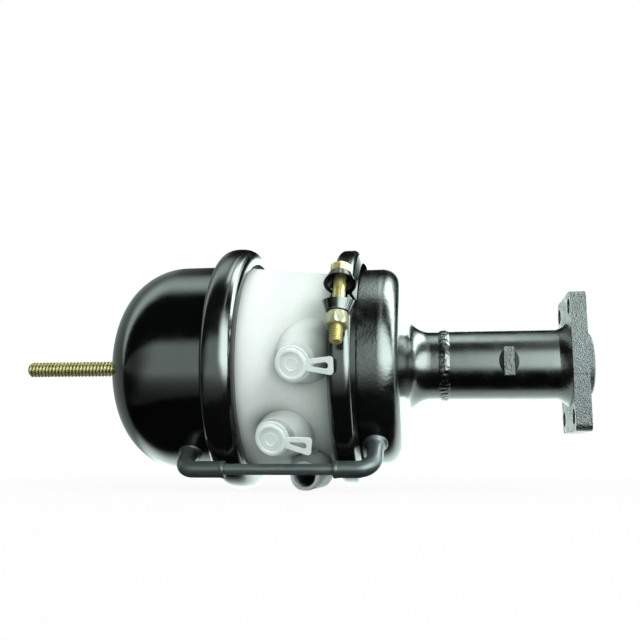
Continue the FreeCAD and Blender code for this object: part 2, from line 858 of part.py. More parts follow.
def coil(x_start, x_end, start_dia, end_dia, wire, turns):
    """Conical coil spring along the axis, lofted through sections of its wire."""
    reach = wire_reach(wire)
    length = x_end - x_start - 2 * reach
    steps = round(turns * spring_steps)
    sections = []
    for i in range(steps + 1):
        share = i / steps
        out = around(360 * turns * share, 1)
        middle = out * (start_dia + (end_dia - start_dia) * share) / 2
        middle = middle + AXIS * (x_start + reach + length * share)
        corners = []
        for k in range(spring_sides + 1):
            angle = 2 * math.pi * k / spring_sides
            corners.append(middle + out * reach * math.cos(angle) + AXIS * reach * math.sin(angle))
        sections.append(Part.makePolygon(corners))
    return Part.makeLoft(sections, True, True)


def power_spring():
    """Heavy conical spring between the dome's crown and the pressure plate."""
    wire = wire_reach(power_wire)
    room = crown_radius - sheet - wire - play
    start = x_dome_end + crown_radius - math.sqrt(room ** 2 - (power_rear_dia / 2) ** 2) - wire
    end = x_plate - plate_thickness - play
    return coil(start, end, power_rear_dia, power_front_dia, power_wire, power_turns)


def parking_return_spring():
    """Light conical spring that carries the adapter rod back from the web."""
    start = x_plate + bead + adapter_plate_thickness + play
    end = x_web_rear - play
    return coil(start, end, inner_small_dia, inner_large_dia, inner_wire, inner_turns)


def service_return_spring():
    """Light conical spring between the push plate and the front housing."""
    start = x_service_plate + service_plate_thickness + play
    end = front_wall_x(return_large_dia / 2 + return_wire / 2, False) - play
    return coil(start, end, return_small_dia, return_large_dia, return_wire, return_turns)


def bent_bar(points, bend, radius):
    """A round bar along straight runs joined by one radius of bend."""
    edges = []
    start = points[0]
    for i in range(1, len(points) - 1):
        before = points[i - 1] - points[i]
        after = points[i + 1] - points[i]
        before.normalize()
        after.normalize()
        half = before.getAngle(after) / 2
        back = bend / math.tan(half)
        inward = before + after
        inward.normalize()
        first = points[i] + before * back
        last = points[i] + after * back
        middle = points[i] + inward * (bend / math.sin(half) - bend)
        edges.append(Part.LineSegment(start, first).toShape())
        edges.append(Part.Arc(first, middle, last).toShape())
        start = last
    edges.append(Part.LineSegment(start, points[-1]).toShape())
    section = Part.Wire([Part.makeCircle(radius, points[0], points[1] - points[0])])
    return Part.Wire(edges).makePipeShell([section], True, True)


def elbow(seat, outward, corner, line_end, bend, skin_radius):
    """Moulded elbow: a flared collar on the housing, a bend, and a sleeve round the pipe."""
    body = bent_bar([seat - outward * 1.5, corner, line_end], bend, elbow_dia / 2)
    collar = outline([
        (-1.5, 0), (-1.5, collar_dia / 2), (1.6, collar_dia / 2, 1.0), (collar_height, elbow_dia / 2 + 0.4),
        (collar_height, 0),
    ]).revolve(CENTRE, AXIS, 360)
    body = body.fuse(aim(collar, seat, outward))
    body = body.cut(disc(x_dome_end, skin_radius + collar_wrap, -x_dome_end))
    nipple = Part.makeCylinder(nipple_dia / 2, nipple_length, seat - outward * 2 * sheet, outward)
    body = body.fuse(nipple)
    along = corner - line_end
    along.normalize()
    return body.cut(Part.makeCylinder(pipe_dia / 2, pipe_in_elbow, line_end, along))


def line_places():
    """Corners and sleeve ends of the breather line, rear and front, and its direction."""
    rear_corner = line_point(x_parking - rear_vent_x)
    front_corner = line_point(x_service + front_vent_x, line_rise)
    along = front_corner - rear_corner
    along.normalize()
    rear_end = rear_corner + along * elbow_leg_rear
    front_end = front_corner - along * elbow_leg_front
    return rear_corner, rear_end, front_end, front_corner, along


def breather_elbows():
    rear_corner, rear_end, front_end, front_corner, along = line_places()
    rear_seat, rear_out = rear_vent()
    front_seat, front_out = front_vent()
    rear = elbow(rear_seat, rear_out, rear_corner, rear_end, rear_bend, dome_dia / 2)
    front = elbow(front_seat, front_out, front_corner, front_end, front_bend, housing_dia / 2)
    return rear, front


def breather_pipe():
    """Stiff plastic pipe between the two elbows' sleeves."""
    rear_corner, rear_end, front_end, front_corner, along = line_places()
    start = rear_end - along * (pipe_in_elbow - play)
    end = front_end + along * (pipe_in_elbow - play)
    run = end - start
    bar = Part.makeCylinder(pipe_dia / 2, run.Length, start, run)
    return bar.cut(Part.makeCylinder(pipe_dia / 2 - pipe_wall, run.Length, start, run))


def plug_tab():
    """Flat loop to pull the plug by, in the plane of its disc, out along +Y."""
    root = plug_disc_dia / 2 - 2
    inner = plug_disc_dia / 2 + tab_bar
    end_half = tab_end_width / 2
    root_half = tab_root_width / 2
    loop = outline([
        (root, -root_half), (tab_reach, -end_half, 2.5), (tab_reach, end_half, 2.5), (root, root_half),
    ])
    lean = (end_half - root_half) / (tab_reach - root)
    near = root_half + lean * (inner - root) - tab_bar
    far = end_half - tab_bar
    hole = outline([
        (inner, -near, 0.6), (tab_reach - tab_bar, -far, 1.2), (tab_reach - tab_bar, far, 1.2),
        (inner, near, 0.6),
    ])
    tab = loop.cut(hole).extrude(Vector(0, 0, tab_thickness))
    tab.rotate(CENTRE, Vector(1, 1, 1), 120)
    return tab


def port_plug(x_behind, side, face, tab_deg):
    """Soft plug: a hollow stem in the port's mouth, a flange, a dished disc and a loop to pull."""
    flange = plug_flange_dia / 2
    disc_edge = plug_disc_dia / 2
    stem = port_mouth_dia / 2 - plug_fit
    groove_x = -plug_flange_thickness
    disc_x = groove_x - plug_groove
    front_x = disc_x - plug_disc_thickness
    body = outline([
        (front_x + plug_recess, 0), (front_x + plug_recess, plug_recess_dia / 2),
        (front_x, plug_recess_dia / 2 + 0.5), (front_x, disc_edge, 0.6), (disc_x, disc_edge),
        (disc_x, stem), (groove_x, stem), (groove_x, flange, 0.5), (0, flange), (0, stem),
        (plug_stem_length, stem), (plug_stem_length, stem - plug_stem_wall),
        (1.0, stem - plug_stem_wall), (1.0, 0),
    ]).revolve(CENTRE, AXIS, 360)
    tab = plug_tab()
    tab.translate(Vector(disc_x - tab_thickness - tab.BoundBox.XMin, 0, 0))
    out = port_direction()
    level = AXIS - out * AXIS.dot(out)
    level.normalize()
    down = level.cross(out)
    angle = math.radians(tab_deg)
    along = level * math.cos(angle) + down * math.sin(angle)
    inward = out * -1
    turn = FreeCAD.Rotation(inward, along, inward.cross(along), "XYZ")
    plug = body.fuse(tab)
    plug.Placement = FreeCAD.Placement(port_place(x_behind, side, face), turn)
    return plug


def build_all():
    save("mounting_flange", mounting_flange())
    save("mounting_tube", mounting_tube())
    save("flange_weld", flange_weld())
    save("tube_weld", tube_weld())
    save("tube_lug", tube_lug())
    save("push_rod_guide", push_rod_guide())
    save("service_housing", service_housing())
    save("service_diaphragm", service_diaphragm())
    save("service_push_plate", service_push_plate())
    save("service_push_rod", service_push_rod())
    save("service_return_spring", service_return_spring())
    upper = band_half()
    save("service_clamp_upper", upper)
    save("service_clamp_lower", half_turn(upper))
    bolt = clamp_bolt()
    nut = clamp_nut()
    save("clamp_bolts", Part.makeCompound([bolt, half_turn(bolt)]))
    save("clamp_nuts", Part.makeCompound([nut, half_turn(nut)]))
    save("flange_case", flange_case())
    save("case_guide", case_guide())
    save("case_seals", rod_seals())
    save("parking_push_rod", parking_push_rod())
    save("parking_return_spring", parking_return_spring())
    save("parking_diaphragm", parking_diaphragm())
    save("pressure_plate", pressure_plate())
    save("power_spring", power_spring())
    save("release_stud", release_stud())
    save("spring_housing", spring_housing())
    save("parking_clamp_ring", parking_clamp_ring())
    rear, front = breather_elbows()
    save("breather_elbow_rear", rear)
    save("breather_elbow_front", front)
    save("breather_pipe", breather_pipe())
    save("service_port_plug", port_plug(
        service_port_x, service_port_side, service_port_face, service_tab_deg))
    save("parking_port_plug", port_plug(
        parking_port_x, parking_port_side, parking_port_face, parking_tab_deg))


build_all()
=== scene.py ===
# %% [markdown]
# An air brake chamber on a pale studio floor.
# The first cell loads the measured model. Its pieces keep their places, and everything below
# either gives one of them a finish or lays a finer piece over it.

# %% Load the measured model
import json
import math

import bmesh
import bpy
from mathutils import Matrix, Vector, noise


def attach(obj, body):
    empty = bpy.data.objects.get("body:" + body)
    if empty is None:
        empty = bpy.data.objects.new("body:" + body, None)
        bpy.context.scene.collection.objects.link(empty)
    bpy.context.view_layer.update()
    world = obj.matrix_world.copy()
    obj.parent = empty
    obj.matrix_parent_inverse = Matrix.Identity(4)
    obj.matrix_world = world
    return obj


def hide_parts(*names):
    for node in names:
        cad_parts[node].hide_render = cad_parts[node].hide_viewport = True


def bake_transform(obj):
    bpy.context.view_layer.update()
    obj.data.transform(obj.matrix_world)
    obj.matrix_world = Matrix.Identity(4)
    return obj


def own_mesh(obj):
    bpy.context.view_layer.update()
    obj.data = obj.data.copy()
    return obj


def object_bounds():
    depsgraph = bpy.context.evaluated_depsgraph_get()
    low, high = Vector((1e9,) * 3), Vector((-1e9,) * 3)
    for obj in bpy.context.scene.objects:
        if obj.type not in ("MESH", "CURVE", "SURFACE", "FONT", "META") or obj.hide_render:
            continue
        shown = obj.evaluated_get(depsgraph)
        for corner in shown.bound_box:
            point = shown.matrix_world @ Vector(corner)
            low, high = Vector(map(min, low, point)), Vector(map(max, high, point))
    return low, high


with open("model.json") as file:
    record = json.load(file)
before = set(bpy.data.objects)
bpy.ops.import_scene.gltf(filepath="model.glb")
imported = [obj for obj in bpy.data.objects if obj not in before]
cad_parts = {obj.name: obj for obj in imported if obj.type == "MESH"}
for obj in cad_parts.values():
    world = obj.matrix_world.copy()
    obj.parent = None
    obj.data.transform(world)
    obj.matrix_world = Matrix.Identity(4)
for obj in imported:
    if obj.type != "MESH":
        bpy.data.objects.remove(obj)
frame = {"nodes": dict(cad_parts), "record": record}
cad_low, cad_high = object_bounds()
nodes = frame["nodes"]

# %% [markdown]
# The photograph was taken from a little below the chamber's axis, looking slightly up. The angles
# and the lens come from fitting straight edges and round rims of the real object, so the drawn
# outline falls on the photographed one. Blender's camera looks along its own -Z, so the three
# direction vectors below become the columns of its matrix.

# %% Camera at the photograph's view
IMAGE_SIDE = 640
FOCAL_PIXELS = 769.01
CAMERA_PLACE = Vector((-0.1166, -0.66019, -0.08003))
YAW, PITCH, ROLL = math.radians(8.94), math.radians(10.33), math.radians(0.48)
SENSOR_MM = 36.0


def make_camera():
    forward = Vector((-math.sin(YAW) * math.cos(PITCH), math.cos(YAW) * math.cos(PITCH), math.sin(PITCH)))
    level = Vector((math.cos(YAW), math.sin(YAW), 0))
    upright = level.cross(forward)
    right = level * math.cos(ROLL) + upright * math.sin(ROLL)
    top = upright * math.cos(ROLL) - level * math.sin(ROLL)
    data = bpy.data.cameras.new("camera")
    data.sensor_width = SENSOR_MM
    data.lens = SENSOR_MM * FOCAL_PIXELS / IMAGE_SIDE
    data.clip_start, data.clip_end = 0.01, 60
    camera = bpy.data.objects.new("camera", data)
    columns = Matrix((right, top, -forward)).transposed()
    camera.matrix_world = Matrix.Translation(CAMERA_PLACE) @ columns.to_4x4()
    bpy.context.collection.objects.link(camera)
    return camera


bpy.context.scene.camera = make_camera()
bpy.context.scene.view_settings.view_transform = "Standard"
print("lens in mm:", round(bpy.context.scene.camera.data.lens, 2))

# %% [markdown]
# A finish is a small network of nodes. These helpers add a node, set the sockets that stay the
# same all over the surface, and join it to the next one, so that each finish below can be read
# as a short list of what the surface does.

# %% Helpers for finishes
class Network:
    """A tree of nodes under construction. Each helper adds a node, wires it and gives its output."""

    def __init__(self, owner):
        owner.use_nodes = True
        self.tree = owner.node_tree

    def add(self, kind, **sockets):
        node = self.tree.nodes.new(kind)
        for socket, value in sockets.items():
            node.inputs[socket.replace("_", " ")].default_value = value
        return node

    def join(self, output, target):
        self.tree.links.new(output, target)

    def feed(self, socket, value):
        """Gives a socket a constant, or wires it to a node's output."""
        if isinstance(value, (int, float, tuple)):
            socket.default_value = value
        else:
            self.join(value, socket)

    def axes(self, vector):
        """The three parts of a vector, by name."""
        node = self.add("ShaderNodeSeparateXYZ")
        self.join(vector, node.inputs[0])
        return node.outputs

    def maths(self, operation, *values):
        node = self.add("ShaderNodeMath")
        node.operation = operation
        for socket, value in zip(node.inputs, values):
            self.feed(socket, value)
        return node.outputs[0]

    def vector(self, operation, *values):
        """Arithmetic on vectors. A length comes out as a number, all else as a vector."""
        node = self.add("ShaderNodeVectorMath")
        node.operation = operation
        for socket, value in zip(node.inputs, values):
            self.feed(socket, value)
        return node.outputs["Value" if operation == "LENGTH" else "Vector"]

    def step(self, value, start, end, low=0.0, high=1.0, shape="SMOOTHSTEP"):
        """A number that goes from low to high while the value goes from start to end."""
        node = self.add("ShaderNodeMapRange", From_Min=start, From_Max=end, To_Min=low, To_Max=high)
        node.interpolation_type = shape
        self.join(value, node.inputs["Value"])
        return node.outputs[0]

    def mix(self, factor, first, second):
        """A colour between the first and the second."""
        node = self.add("ShaderNodeMix")
        node.data_type = "RGBA"
        for value, index in ((factor, 0), (first, 6), (second, 7)):
            self.feed(node.inputs[index], value)
        return node.outputs[2]


class Finish(Network):
    """One material, with a principled shader."""

    def __init__(self, name):
        self.material = bpy.data.materials.new(name)
        super().__init__(self.material)
        self.shader = self.tree.nodes["Principled BSDF"]
        self.place = self.add("ShaderNodeTexCoord").outputs["Object"]

    def surface(self, **values):
        """Sets the sockets that are the same all over."""
        for socket, value in values.items():
            self.shader.inputs[socket.replace("_", " ")].default_value = value

    def colour(self, output):
        self.join(output, self.shader.inputs["Base Color"])

    def rough(self, output):
        self.join(output, self.shader.inputs["Roughness"])

    def noise(self, scale, detail=4.0, roughness=0.55, distortion=0.0):
        node = self.add("ShaderNodeTexNoise", Scale=scale, Detail=detail, Roughness=roughness,
                        Distortion=distortion)
        self.join(self.place, node.inputs["Vector"])
        return node.outputs["Fac"]

    def ramp(self, factor, low, high, start=0.35, end=0.65):
        """A colour or grey that runs from low to high as the factor does."""
        node = self.add("ShaderNodeValToRGB")
        first, last = node.color_ramp.elements
        first.position, last.position = start, end
        first.color = low if isinstance(low, tuple) else (low, low, low, 1)
        last.color = high if isinstance(high, tuple) else (high, high, high, 1)
        self.join(factor, node.inputs["Fac"])
        return node.outputs["Color"]

    def bump(self, height, depth, strength=1.0):
        """Relief from a height, with the last relief added under it. Depth is in metres."""
        node = self.add("ShaderNodeBump", Strength=strength, Distance=depth)
        self.join(height, node.inputs["Height"])
        normal = self.shader.inputs["Normal"]
        if normal.links:
            self.join(normal.links[0].from_socket, node.inputs["Normal"])
        self.join(node.outputs["Normal"], normal)


def rgb(red, green, blue):
    return (red, green, blue, 1.0)


finishes = {}


def keep(finish_name, finish):
    finishes[finish_name] = finish.material
    print("finish:", finish_name)


# %% [markdown]
# The pressed housings are sprayed gloss black. Paint is never a perfect mirror: it dries with a
# faint orange peel, so a wide shallow noise bends the reflections and a second noise varies how
# sharp they are. The front housing has a coarser, drier coat than the dome.

# %% Gloss black paint on the housings
def black_paint(name, peel_scale, peel_depth, low_rough, high_rough, tint):
    paint = Finish(name)
    paint.surface(Metallic=0.0, IOR=1.5, Coat_Weight=0.0)
    paint.colour(paint.ramp(paint.noise(18, 3), rgb(*[c * 0.7 for c in tint]), rgb(*tint)))
    paint.rough(paint.ramp(paint.noise(90, 5), low_rough, high_rough))
    paint.bump(paint.noise(peel_scale, 3, 0.5), peel_depth)
    return paint


PAINTS = [
    # finish, name, scale and depth of the peel, roughness from and to, colour, specular level
    ("painted_steel", "dome paint", 240, 0.00003, 0.10, 0.16, (0.0012, 0.0014, 0.0014), 0.5),
    ("black_clamp", "clamp enamel", 200, 0.00003, 0.14, 0.22, (0.0026, 0.003, 0.0028), 0.5),
    ("painted_tube", "tube paint", 260, 0.00002, 0.22, 0.30, (0.0015, 0.0018, 0.0018), 0.5),
    ("housing_paint", "front housing paint", 520, 0.00014, 0.16, 0.26, (0.0035, 0.004, 0.004), 0.5),
    ("painted_casting", "cast flange paint", 850, 0.0008, 0.32, 0.46, (0.016, 0.018, 0.019), 0.5),
    ("weld", "painted weld", 420, 0.0002, 0.18, 0.28, (0.004, 0.0045, 0.0045), 0.5),
    # The dull lens is painted shade: a dark, unreflecting sheet round the lug on the tube.
    ("dull_weld", "dull weld", 700, 0.0003, 0.55, 0.7, (0.004, 0.0045, 0.0045), 0.12),
]
for finish_name, *facts, specular in PAINTS:
    coat = black_paint(*facts)
    coat.surface(Specular_IOR_Level=specular)
    keep(finish_name, coat)

# %% [markdown]
# The middle case is sand-cast aluminium, blasted to a pale, almost white grey. Its grain is fine
# and random, so it needs a sharp small noise in the relief and only a little in the colour, with
# soft larger clouds where the blasting was uneven. Painted shade darkens it towards the front rim
# beside the clamp band and in the creases at the feet of the bosses, and painted light keeps it brightest
# beside the rolled ring.

# %% Blasted cast aluminium
# Painted light: the colour turns paler beside the rolled ring, where the ring would shade the casting.
PAINTED_LIGHT_FROM, PAINTED_LIGHT_TO, PAINTED_LIGHT_SHARE = -0.272, -0.240, 0.42
# Painted shade: the colour turns darker and greener towards the clamp band.
BAND_SHADE_FROM, BAND_SHADE_TO, BAND_SHADE_SHARE = -0.232, -0.196, 0.55
# Painted shade in the creases at the feet of the bosses, taken from an occlusion node.
CREASE_SHADE_REACH = 0.014


def cast_aluminium():
    cast = Finish("blasted cast aluminium")
    cast.surface(Metallic=0.0, IOR=1.32)
    clouds = cast.ramp(cast.noise(14, 5), rgb(0.56, 0.61, 0.585), rgb(0.66, 0.70, 0.68))
    grain = cast.ramp(cast.noise(1100, 2), rgb(0.53, 0.57, 0.55), rgb(0.70, 0.73, 0.715))
    along = cast.axes(cast.place)["X"]
    painted_light = cast.step(along, PAINTED_LIGHT_FROM, PAINTED_LIGHT_TO, PAINTED_LIGHT_SHARE, 0.0)
    band_shade = cast.step(along, BAND_SHADE_FROM, BAND_SHADE_TO, 0.0, BAND_SHADE_SHARE)
    # Painted shade: occlusion darkens the colour in the creases.
    crease = cast.add("ShaderNodeAmbientOcclusion", Distance=CREASE_SHADE_REACH)
    crease.only_local = True
    crease.samples = 8
    # Painted light beside the rolled ring.
    skin = cast.mix(painted_light, cast.mix(0.4, clouds, grain), rgb(0.86, 0.89, 0.87))
    # Painted shade towards the clamp band.
    skin = cast.mix(band_shade, skin, rgb(0.30, 0.36, 0.32))
    shade = cast.ramp(crease.outputs["AO"], 1.0, 0.0, 0.45, 0.97)
    cast.colour(cast.mix(shade, skin, rgb(0.13, 0.16, 0.145)))
    cast.rough(cast.ramp(cast.noise(300, 3), 0.55, 0.7))
    cast.bump(cast.noise(1300, 3, 0.6), 0.00010)
    cast.bump(cast.noise(60, 3), 0.0003)
    return cast


keep("cast_aluminium", cast_aluminium())

# %% [markdown]
# Yellow zinc plate is bright, but its chromate layer scatters light, so part of its colour comes
# back in every direction. It drifts between straw, green and pink. The release stud's thread has
# painted shade down in its grooves: its colour darkens from the crests towards the stud's axis.
# Its shading leans towards a plain bar's, which keeps the narrow
# turns of the thread readable from afar.

# %% Yellow zinc plate
GROOVE_RADIUS, CREST_RADIUS = 0.0056, 0.0066
BAR_LEAN, THREAD_LEAN = 120, 0.35


def yellow_zinc(name, dull, bright, metal):
    zinc = Finish(name)
    zinc.surface(Metallic=metal)
    straw = zinc.ramp(zinc.noise(70, 3), rgb(*dull), rgb(*bright))
    tint = zinc.ramp(zinc.noise(160, 2, 0.5, 0.6), rgb(0.33, 0.36, 0.18), rgb(0.42, 0.30, 0.17))
    zinc.plate = zinc.mix(0.25, straw, tint)
    zinc.colour(zinc.plate)
    zinc.rough(zinc.ramp(zinc.noise(400, 4), 0.26, 0.38))
    zinc.bump(zinc.noise(1200, 2), 0.00002)
    return zinc


def thread_zinc():
    zinc = yellow_zinc("threaded zinc plate", (0.33, 0.29, 0.09), (0.45, 0.40, 0.17), 0.45)
    radius = zinc.vector("LENGTH", zinc.vector("MULTIPLY", zinc.place, (0, 1, 1)))
    height = zinc.step(radius, GROOVE_RADIUS, CREST_RADIUS, shape="LINEAR")
    # Painted shade: the colour runs from near black in the grooves to the plate's colour on the crests.
    zinc.colour(zinc.mix(height, rgb(0.045, 0.036, 0.006), zinc.plate))
    world = zinc.add("ShaderNodeNewGeometry").outputs
    bar = zinc.vector("MULTIPLY", world["Position"], (0, BAR_LEAN, BAR_LEAN))
    both = zinc.vector("MULTIPLY_ADD", world["Normal"], (THREAD_LEAN, THREAD_LEAN, THREAD_LEAN), bar)
    zinc.join(zinc.vector("NORMALIZE", both), zinc.shader.inputs["Normal"])
    return zinc


keep("yellow_zinc", yellow_zinc("yellow zinc plate", (0.27, 0.225, 0.055), (0.38, 0.33, 0.12), 0.5))
keep("thread_zinc", thread_zinc())
keep("pale_zinc", yellow_zinc("pale zinc plate", (0.155, 0.18, 0.115), (0.24, 0.25, 0.165), 0.3))

# %% [markdown]
# The port plugs are soft milky plastic. Light enters and scatters, so the shader gets subsurface
# scattering rather than a plain white.

# %% Milky plastic
def milky_plastic():
    milk = Finish("milky plastic")
    milk.surface(Subsurface_Weight=0.15, Subsurface_Scale=0.002, IOR=1.4)
    milk.colour(milk.ramp(milk.noise(60, 3), rgb(0.62, 0.69, 0.665), rgb(0.70, 0.76, 0.735)))
    milk.rough(milk.ramp(milk.noise(200, 3), 0.34, 0.46))
    milk.bump(milk.noise(500, 2), 0.00003)
    return milk


keep("plug_plastic", milky_plastic())

# %% [markdown]
# Rubber and plastic of the breather line, and the pieces inside, which only show from the ends.

# %% Rubber, plastic and the inner metals
def plain_stuff(name, low, high, rough_low, rough_high, scale, depth, metallic):
    """An even stuff: wide clouds of colour, finer ones of roughness, and the finest as relief."""
    stuff = Finish(name)
    stuff.surface(Metallic=metallic)
    stuff.colour(stuff.ramp(stuff.noise(scale / 6, 4), rgb(*low), rgb(*high)))
    stuff.rough(stuff.ramp(stuff.noise(scale, 3), rough_low, rough_high))
    stuff.bump(stuff.noise(scale * 2, 3), depth)
    return stuff


STUFFS = [
    # finish, colour from and to, roughness from and to, scale, depth of the relief, metal
    ("breather_rubber", (0.022, 0.028, 0.028), (0.032, 0.039, 0.039), 0.36, 0.46, 300, 0.00004, 0.0),
    ("breather_plastic", (0.042, 0.052, 0.052), (0.056, 0.068, 0.068), 0.30, 0.40, 220, 0.00003, 0.0),
    ("diaphragm_rubber", (0.02, 0.02, 0.02), (0.035, 0.035, 0.035), 0.5, 0.7, 500, 0.0001, 0.0),
    ("seal_rubber", (0.015, 0.015, 0.015), (0.03, 0.03, 0.03), 0.4, 0.6, 400, 0.00005, 0.0),
    ("guide_plastic", (0.62, 0.6, 0.52), (0.72, 0.7, 0.62), 0.35, 0.5, 300, 0.00004, 0.0),
    ("spring_steel", (0.05, 0.055, 0.06), (0.09, 0.1, 0.11), 0.3, 0.5, 300, 0.00005, 0.8),
    ("plated_steel", (0.11, 0.115, 0.11), (0.15, 0.155, 0.15), 0.32, 0.44, 400, 0.00003, 0.3),
    ("bare_aluminium", (0.2, 0.205, 0.2), (0.27, 0.275, 0.27), 0.4, 0.55, 300, 0.0001, 0.3),
]
for finish_name, *facts in STUFFS:
    keep(finish_name, plain_stuff(finish_name.replace("_", " "), *facts))

# %% [markdown]
# Each piece of the model names its slot in the record, so one loop gives every piece its finish.

# %% Give every piece its finish
OWN_FINISH = {"service_housing": "housing_paint", "clamp_nuts": "pale_zinc"}
slot_of = {row["node"]: row["material_slot"] for row in frame["record"]["subparts"]}
for name, piece in nodes.items():
    wanted = finishes[OWN_FINISH.get(name, slot_of[name])]
    for holder in piece.material_slots:
        holder.material = wanted
print("dressed:", len(nodes))

# %% [markdown]
# The model's solids carry the true sizes, but no thread, no weld ripple and no cast skin. The next
# cells draw those pieces again as meshes, at the same places in millimetres, and each one stands
# for its solid. Most of them are skins turned about a line. The radius of a row may depend on the
# angle, which is all that a hexagon, a thread or a rippled weld needs.

# %% Skins turned about a line
MM = 0.001
ALONG = Vector((1, 0, 0))
CHAMBER = "chamber"
WELD_GAP = 0.000002


def ring_faces(rings, steps, capped=False):
    """Faces between neighbouring rings of as many points each, and over both ends if capped."""
    faces = []
    for ring in range(rings - 1):
        for k in range(steps):
            a, b = ring * steps + k, ring * steps + (k + 1) % steps
            faces.append((a, b, b + steps, a + steps))
    if capped:
        faces.append(tuple(range(steps)))
        faces.append(tuple(range((rings - 1) * steps, rings * steps)))
    return faces


def spun(rows, steps, place=Vector((0, 0, 0)), along=ALONG, closed=True):
    """Points and faces of a turned skin. A row is (distance along the line, radius)."""
    turn = ALONG.rotation_difference(along)
    points = []
    for x, radius in rows:
        for k in range(steps):
            angle = 2 * math.pi * k / steps
            r = radius(angle) if callable(radius) else radius
            points.append(place + turn @ Vector((x, r * math.sin(angle), r * math.cos(angle))))
    return points, ring_faces(len(rows), steps, closed)


def half_turned(skin):
    """The same skin on the far side of the chamber's axis."""
    points, faces = skin
    return [Vector((p.x, -p.y, -p.z)) for p in points], faces


def piece(name, skins, finish, body=CHAMBER, stands_for=None, crease=38):
    """One object from one or more skins in millimetres, riding on a body unless that is None."""
    mesh = bmesh.new()
    for points, faces in skins:
        corners = [mesh.verts.new(p * MM) for p in points]
        for face in faces:
            mesh.faces.new([corners[i] for i in face])
    bmesh.ops.remove_doubles(mesh, verts=mesh.verts, dist=WELD_GAP)
    bmesh.ops.recalc_face_normals(mesh, faces=mesh.faces)
    data = bpy.data.meshes.new(name)
    mesh.to_mesh(data)
    mesh.free()
    data.polygons.foreach_set("use_smooth", [True] * len(data.polygons))
    data.set_sharp_from_angle(angle=math.radians(crease))
    data.materials.append(finishes[finish])
    made = bpy.data.objects.new(name, data)
    bpy.context.collection.objects.link(made)
    if body:
        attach(made, body)
    if stands_for:
        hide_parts(stands_for)
    print("piece:", name, len(data.polygons), "faces")
    return made


def threaded(start, end, pitch, core, crest, chamfer, place=Vector((0, 0, 0)), along=ALONG, steps=48):
    """A threaded bar. Its rows run along the helix, so every row lies on one height of the thread."""
    turn = ALONG.rotation_difference(along)
    per_pitch, flat = 12, 0.12
    points, faces = [], []
    rows = int((end - start) / pitch + 2) * per_pitch
    for row in range(rows):
        flank = abs(2 * (row % per_pitch) / per_pitch - 1)
        height = core + (crest - core) * min(max((flank - flat) / (1 - 2 * flat), 0.0), 1.0)
        for k in range(steps):
            x = start + pitch * (row / per_pitch - 1 + k / steps)
            x = min(max(x, start), end)
            radius = min(height, crest - chamfer + (x - start), crest - chamfer + (end - x))
            angle = 2 * math.pi * k / steps
            points.append(place + turn @ Vector((x, radius * math.sin(angle), radius * math.cos(angle))))
    for row in range(rows - 1):
        for k in range(steps):
            across = row if k < steps - 1 else row + per_pitch
            if across + 1 >= rows:
                continue
            a, b = row * steps + k, across * steps + (k + 1) % steps
            faces.append((a, b, b + steps, a + steps))
    return points, faces


def hexagon(apothem, limit):
    """Radius of a hexagon, cut by a cone that has this radius here."""
    def radius(angle):
        return min(apothem / math.cos(angle % (math.pi / 3) - math.pi / 6), limit)
    return radius


# %% [markdown]
# The release stud is one long thread with a chamfered tip. Its cross head sits inside the dome.

# %% Threaded release stud
STUD_TIP, STUD_THREAD_END, STUD_END = -491.4, -386.0, -337.7
STUD_PITCH, STUD_CREST, STUD_CORE, STUD_CHAMFER = 3.29, 6.75, 5.6, 1.9
STUD_HEAD = (8.0, 22.0, 12.0)


def box_skin(low, size):
    """A plain block, for the hidden head of the stud."""
    points = [Vector((low[0] + size[0] * i, low[1] + size[1] * j, low[2] + size[2] * k))
              for i in (0, 1) for j in (0, 1) for k in (0, 1)]
    faces = [(0, 1, 3, 2), (4, 5, 7, 6), (0, 1, 5, 4), (2, 3, 7, 6), (0, 2, 6, 4), (1, 3, 7, 5)]
    return points, faces


def stud_skins():
    screw = threaded(STUD_TIP, STUD_THREAD_END, STUD_PITCH, STUD_CORE, STUD_CREST, STUD_CHAMFER)
    tip_radius = STUD_CREST - STUD_CHAMFER
    core_rows = [(STUD_TIP, tip_radius), (STUD_TIP + 1, tip_radius)]
    core_rows += [(STUD_THREAD_END, STUD_CORE), (STUD_END, STUD_CORE)]
    return [screw, spun(core_rows, 40)]


head_low = (STUD_END - STUD_HEAD[0], -STUD_HEAD[1] / 2, -STUD_HEAD[2] / 2)
piece("threaded_stud", stud_skins() + [box_skin(head_low, STUD_HEAD)], "thread_zinc",
      "release_stud_body", "release_stud", crease=60)

# %% [markdown]
# The two clamp bolts stand across the band's splits, one on each side of the chamber. The shank
# is plain between the ears and threaded where the nut sits.

# %% Clamp bolts and nuts
SERVICE_X, SPLIT, BOLT_REACH = -190.4, math.radians(24.3), 109.0
HEAD_TOP, HEAD_HEIGHT, HEAD_APOTHEM = 23.6, 6.8, 7.5
BOLT_END, BOLT_RADIUS, BOLT_CORE, BOLT_PITCH, BOLT_CHAMFER = -45.1, 4.8, 4.15, 1.5, 1.1
NUT_LOW, NUT_HEIGHT, NUT_APOTHEM = -32.1, 10.8, 8.0
BOLT_UP = Vector((0, math.sin(SPLIT), math.cos(SPLIT)))


def bolt_place(height):
    """A point on the near bolt's line, upwards from the band's split."""
    foot = Vector((SERVICE_X, -BOLT_REACH * math.cos(SPLIT), BOLT_REACH * math.sin(SPLIT)))
    return foot + BOLT_UP * height


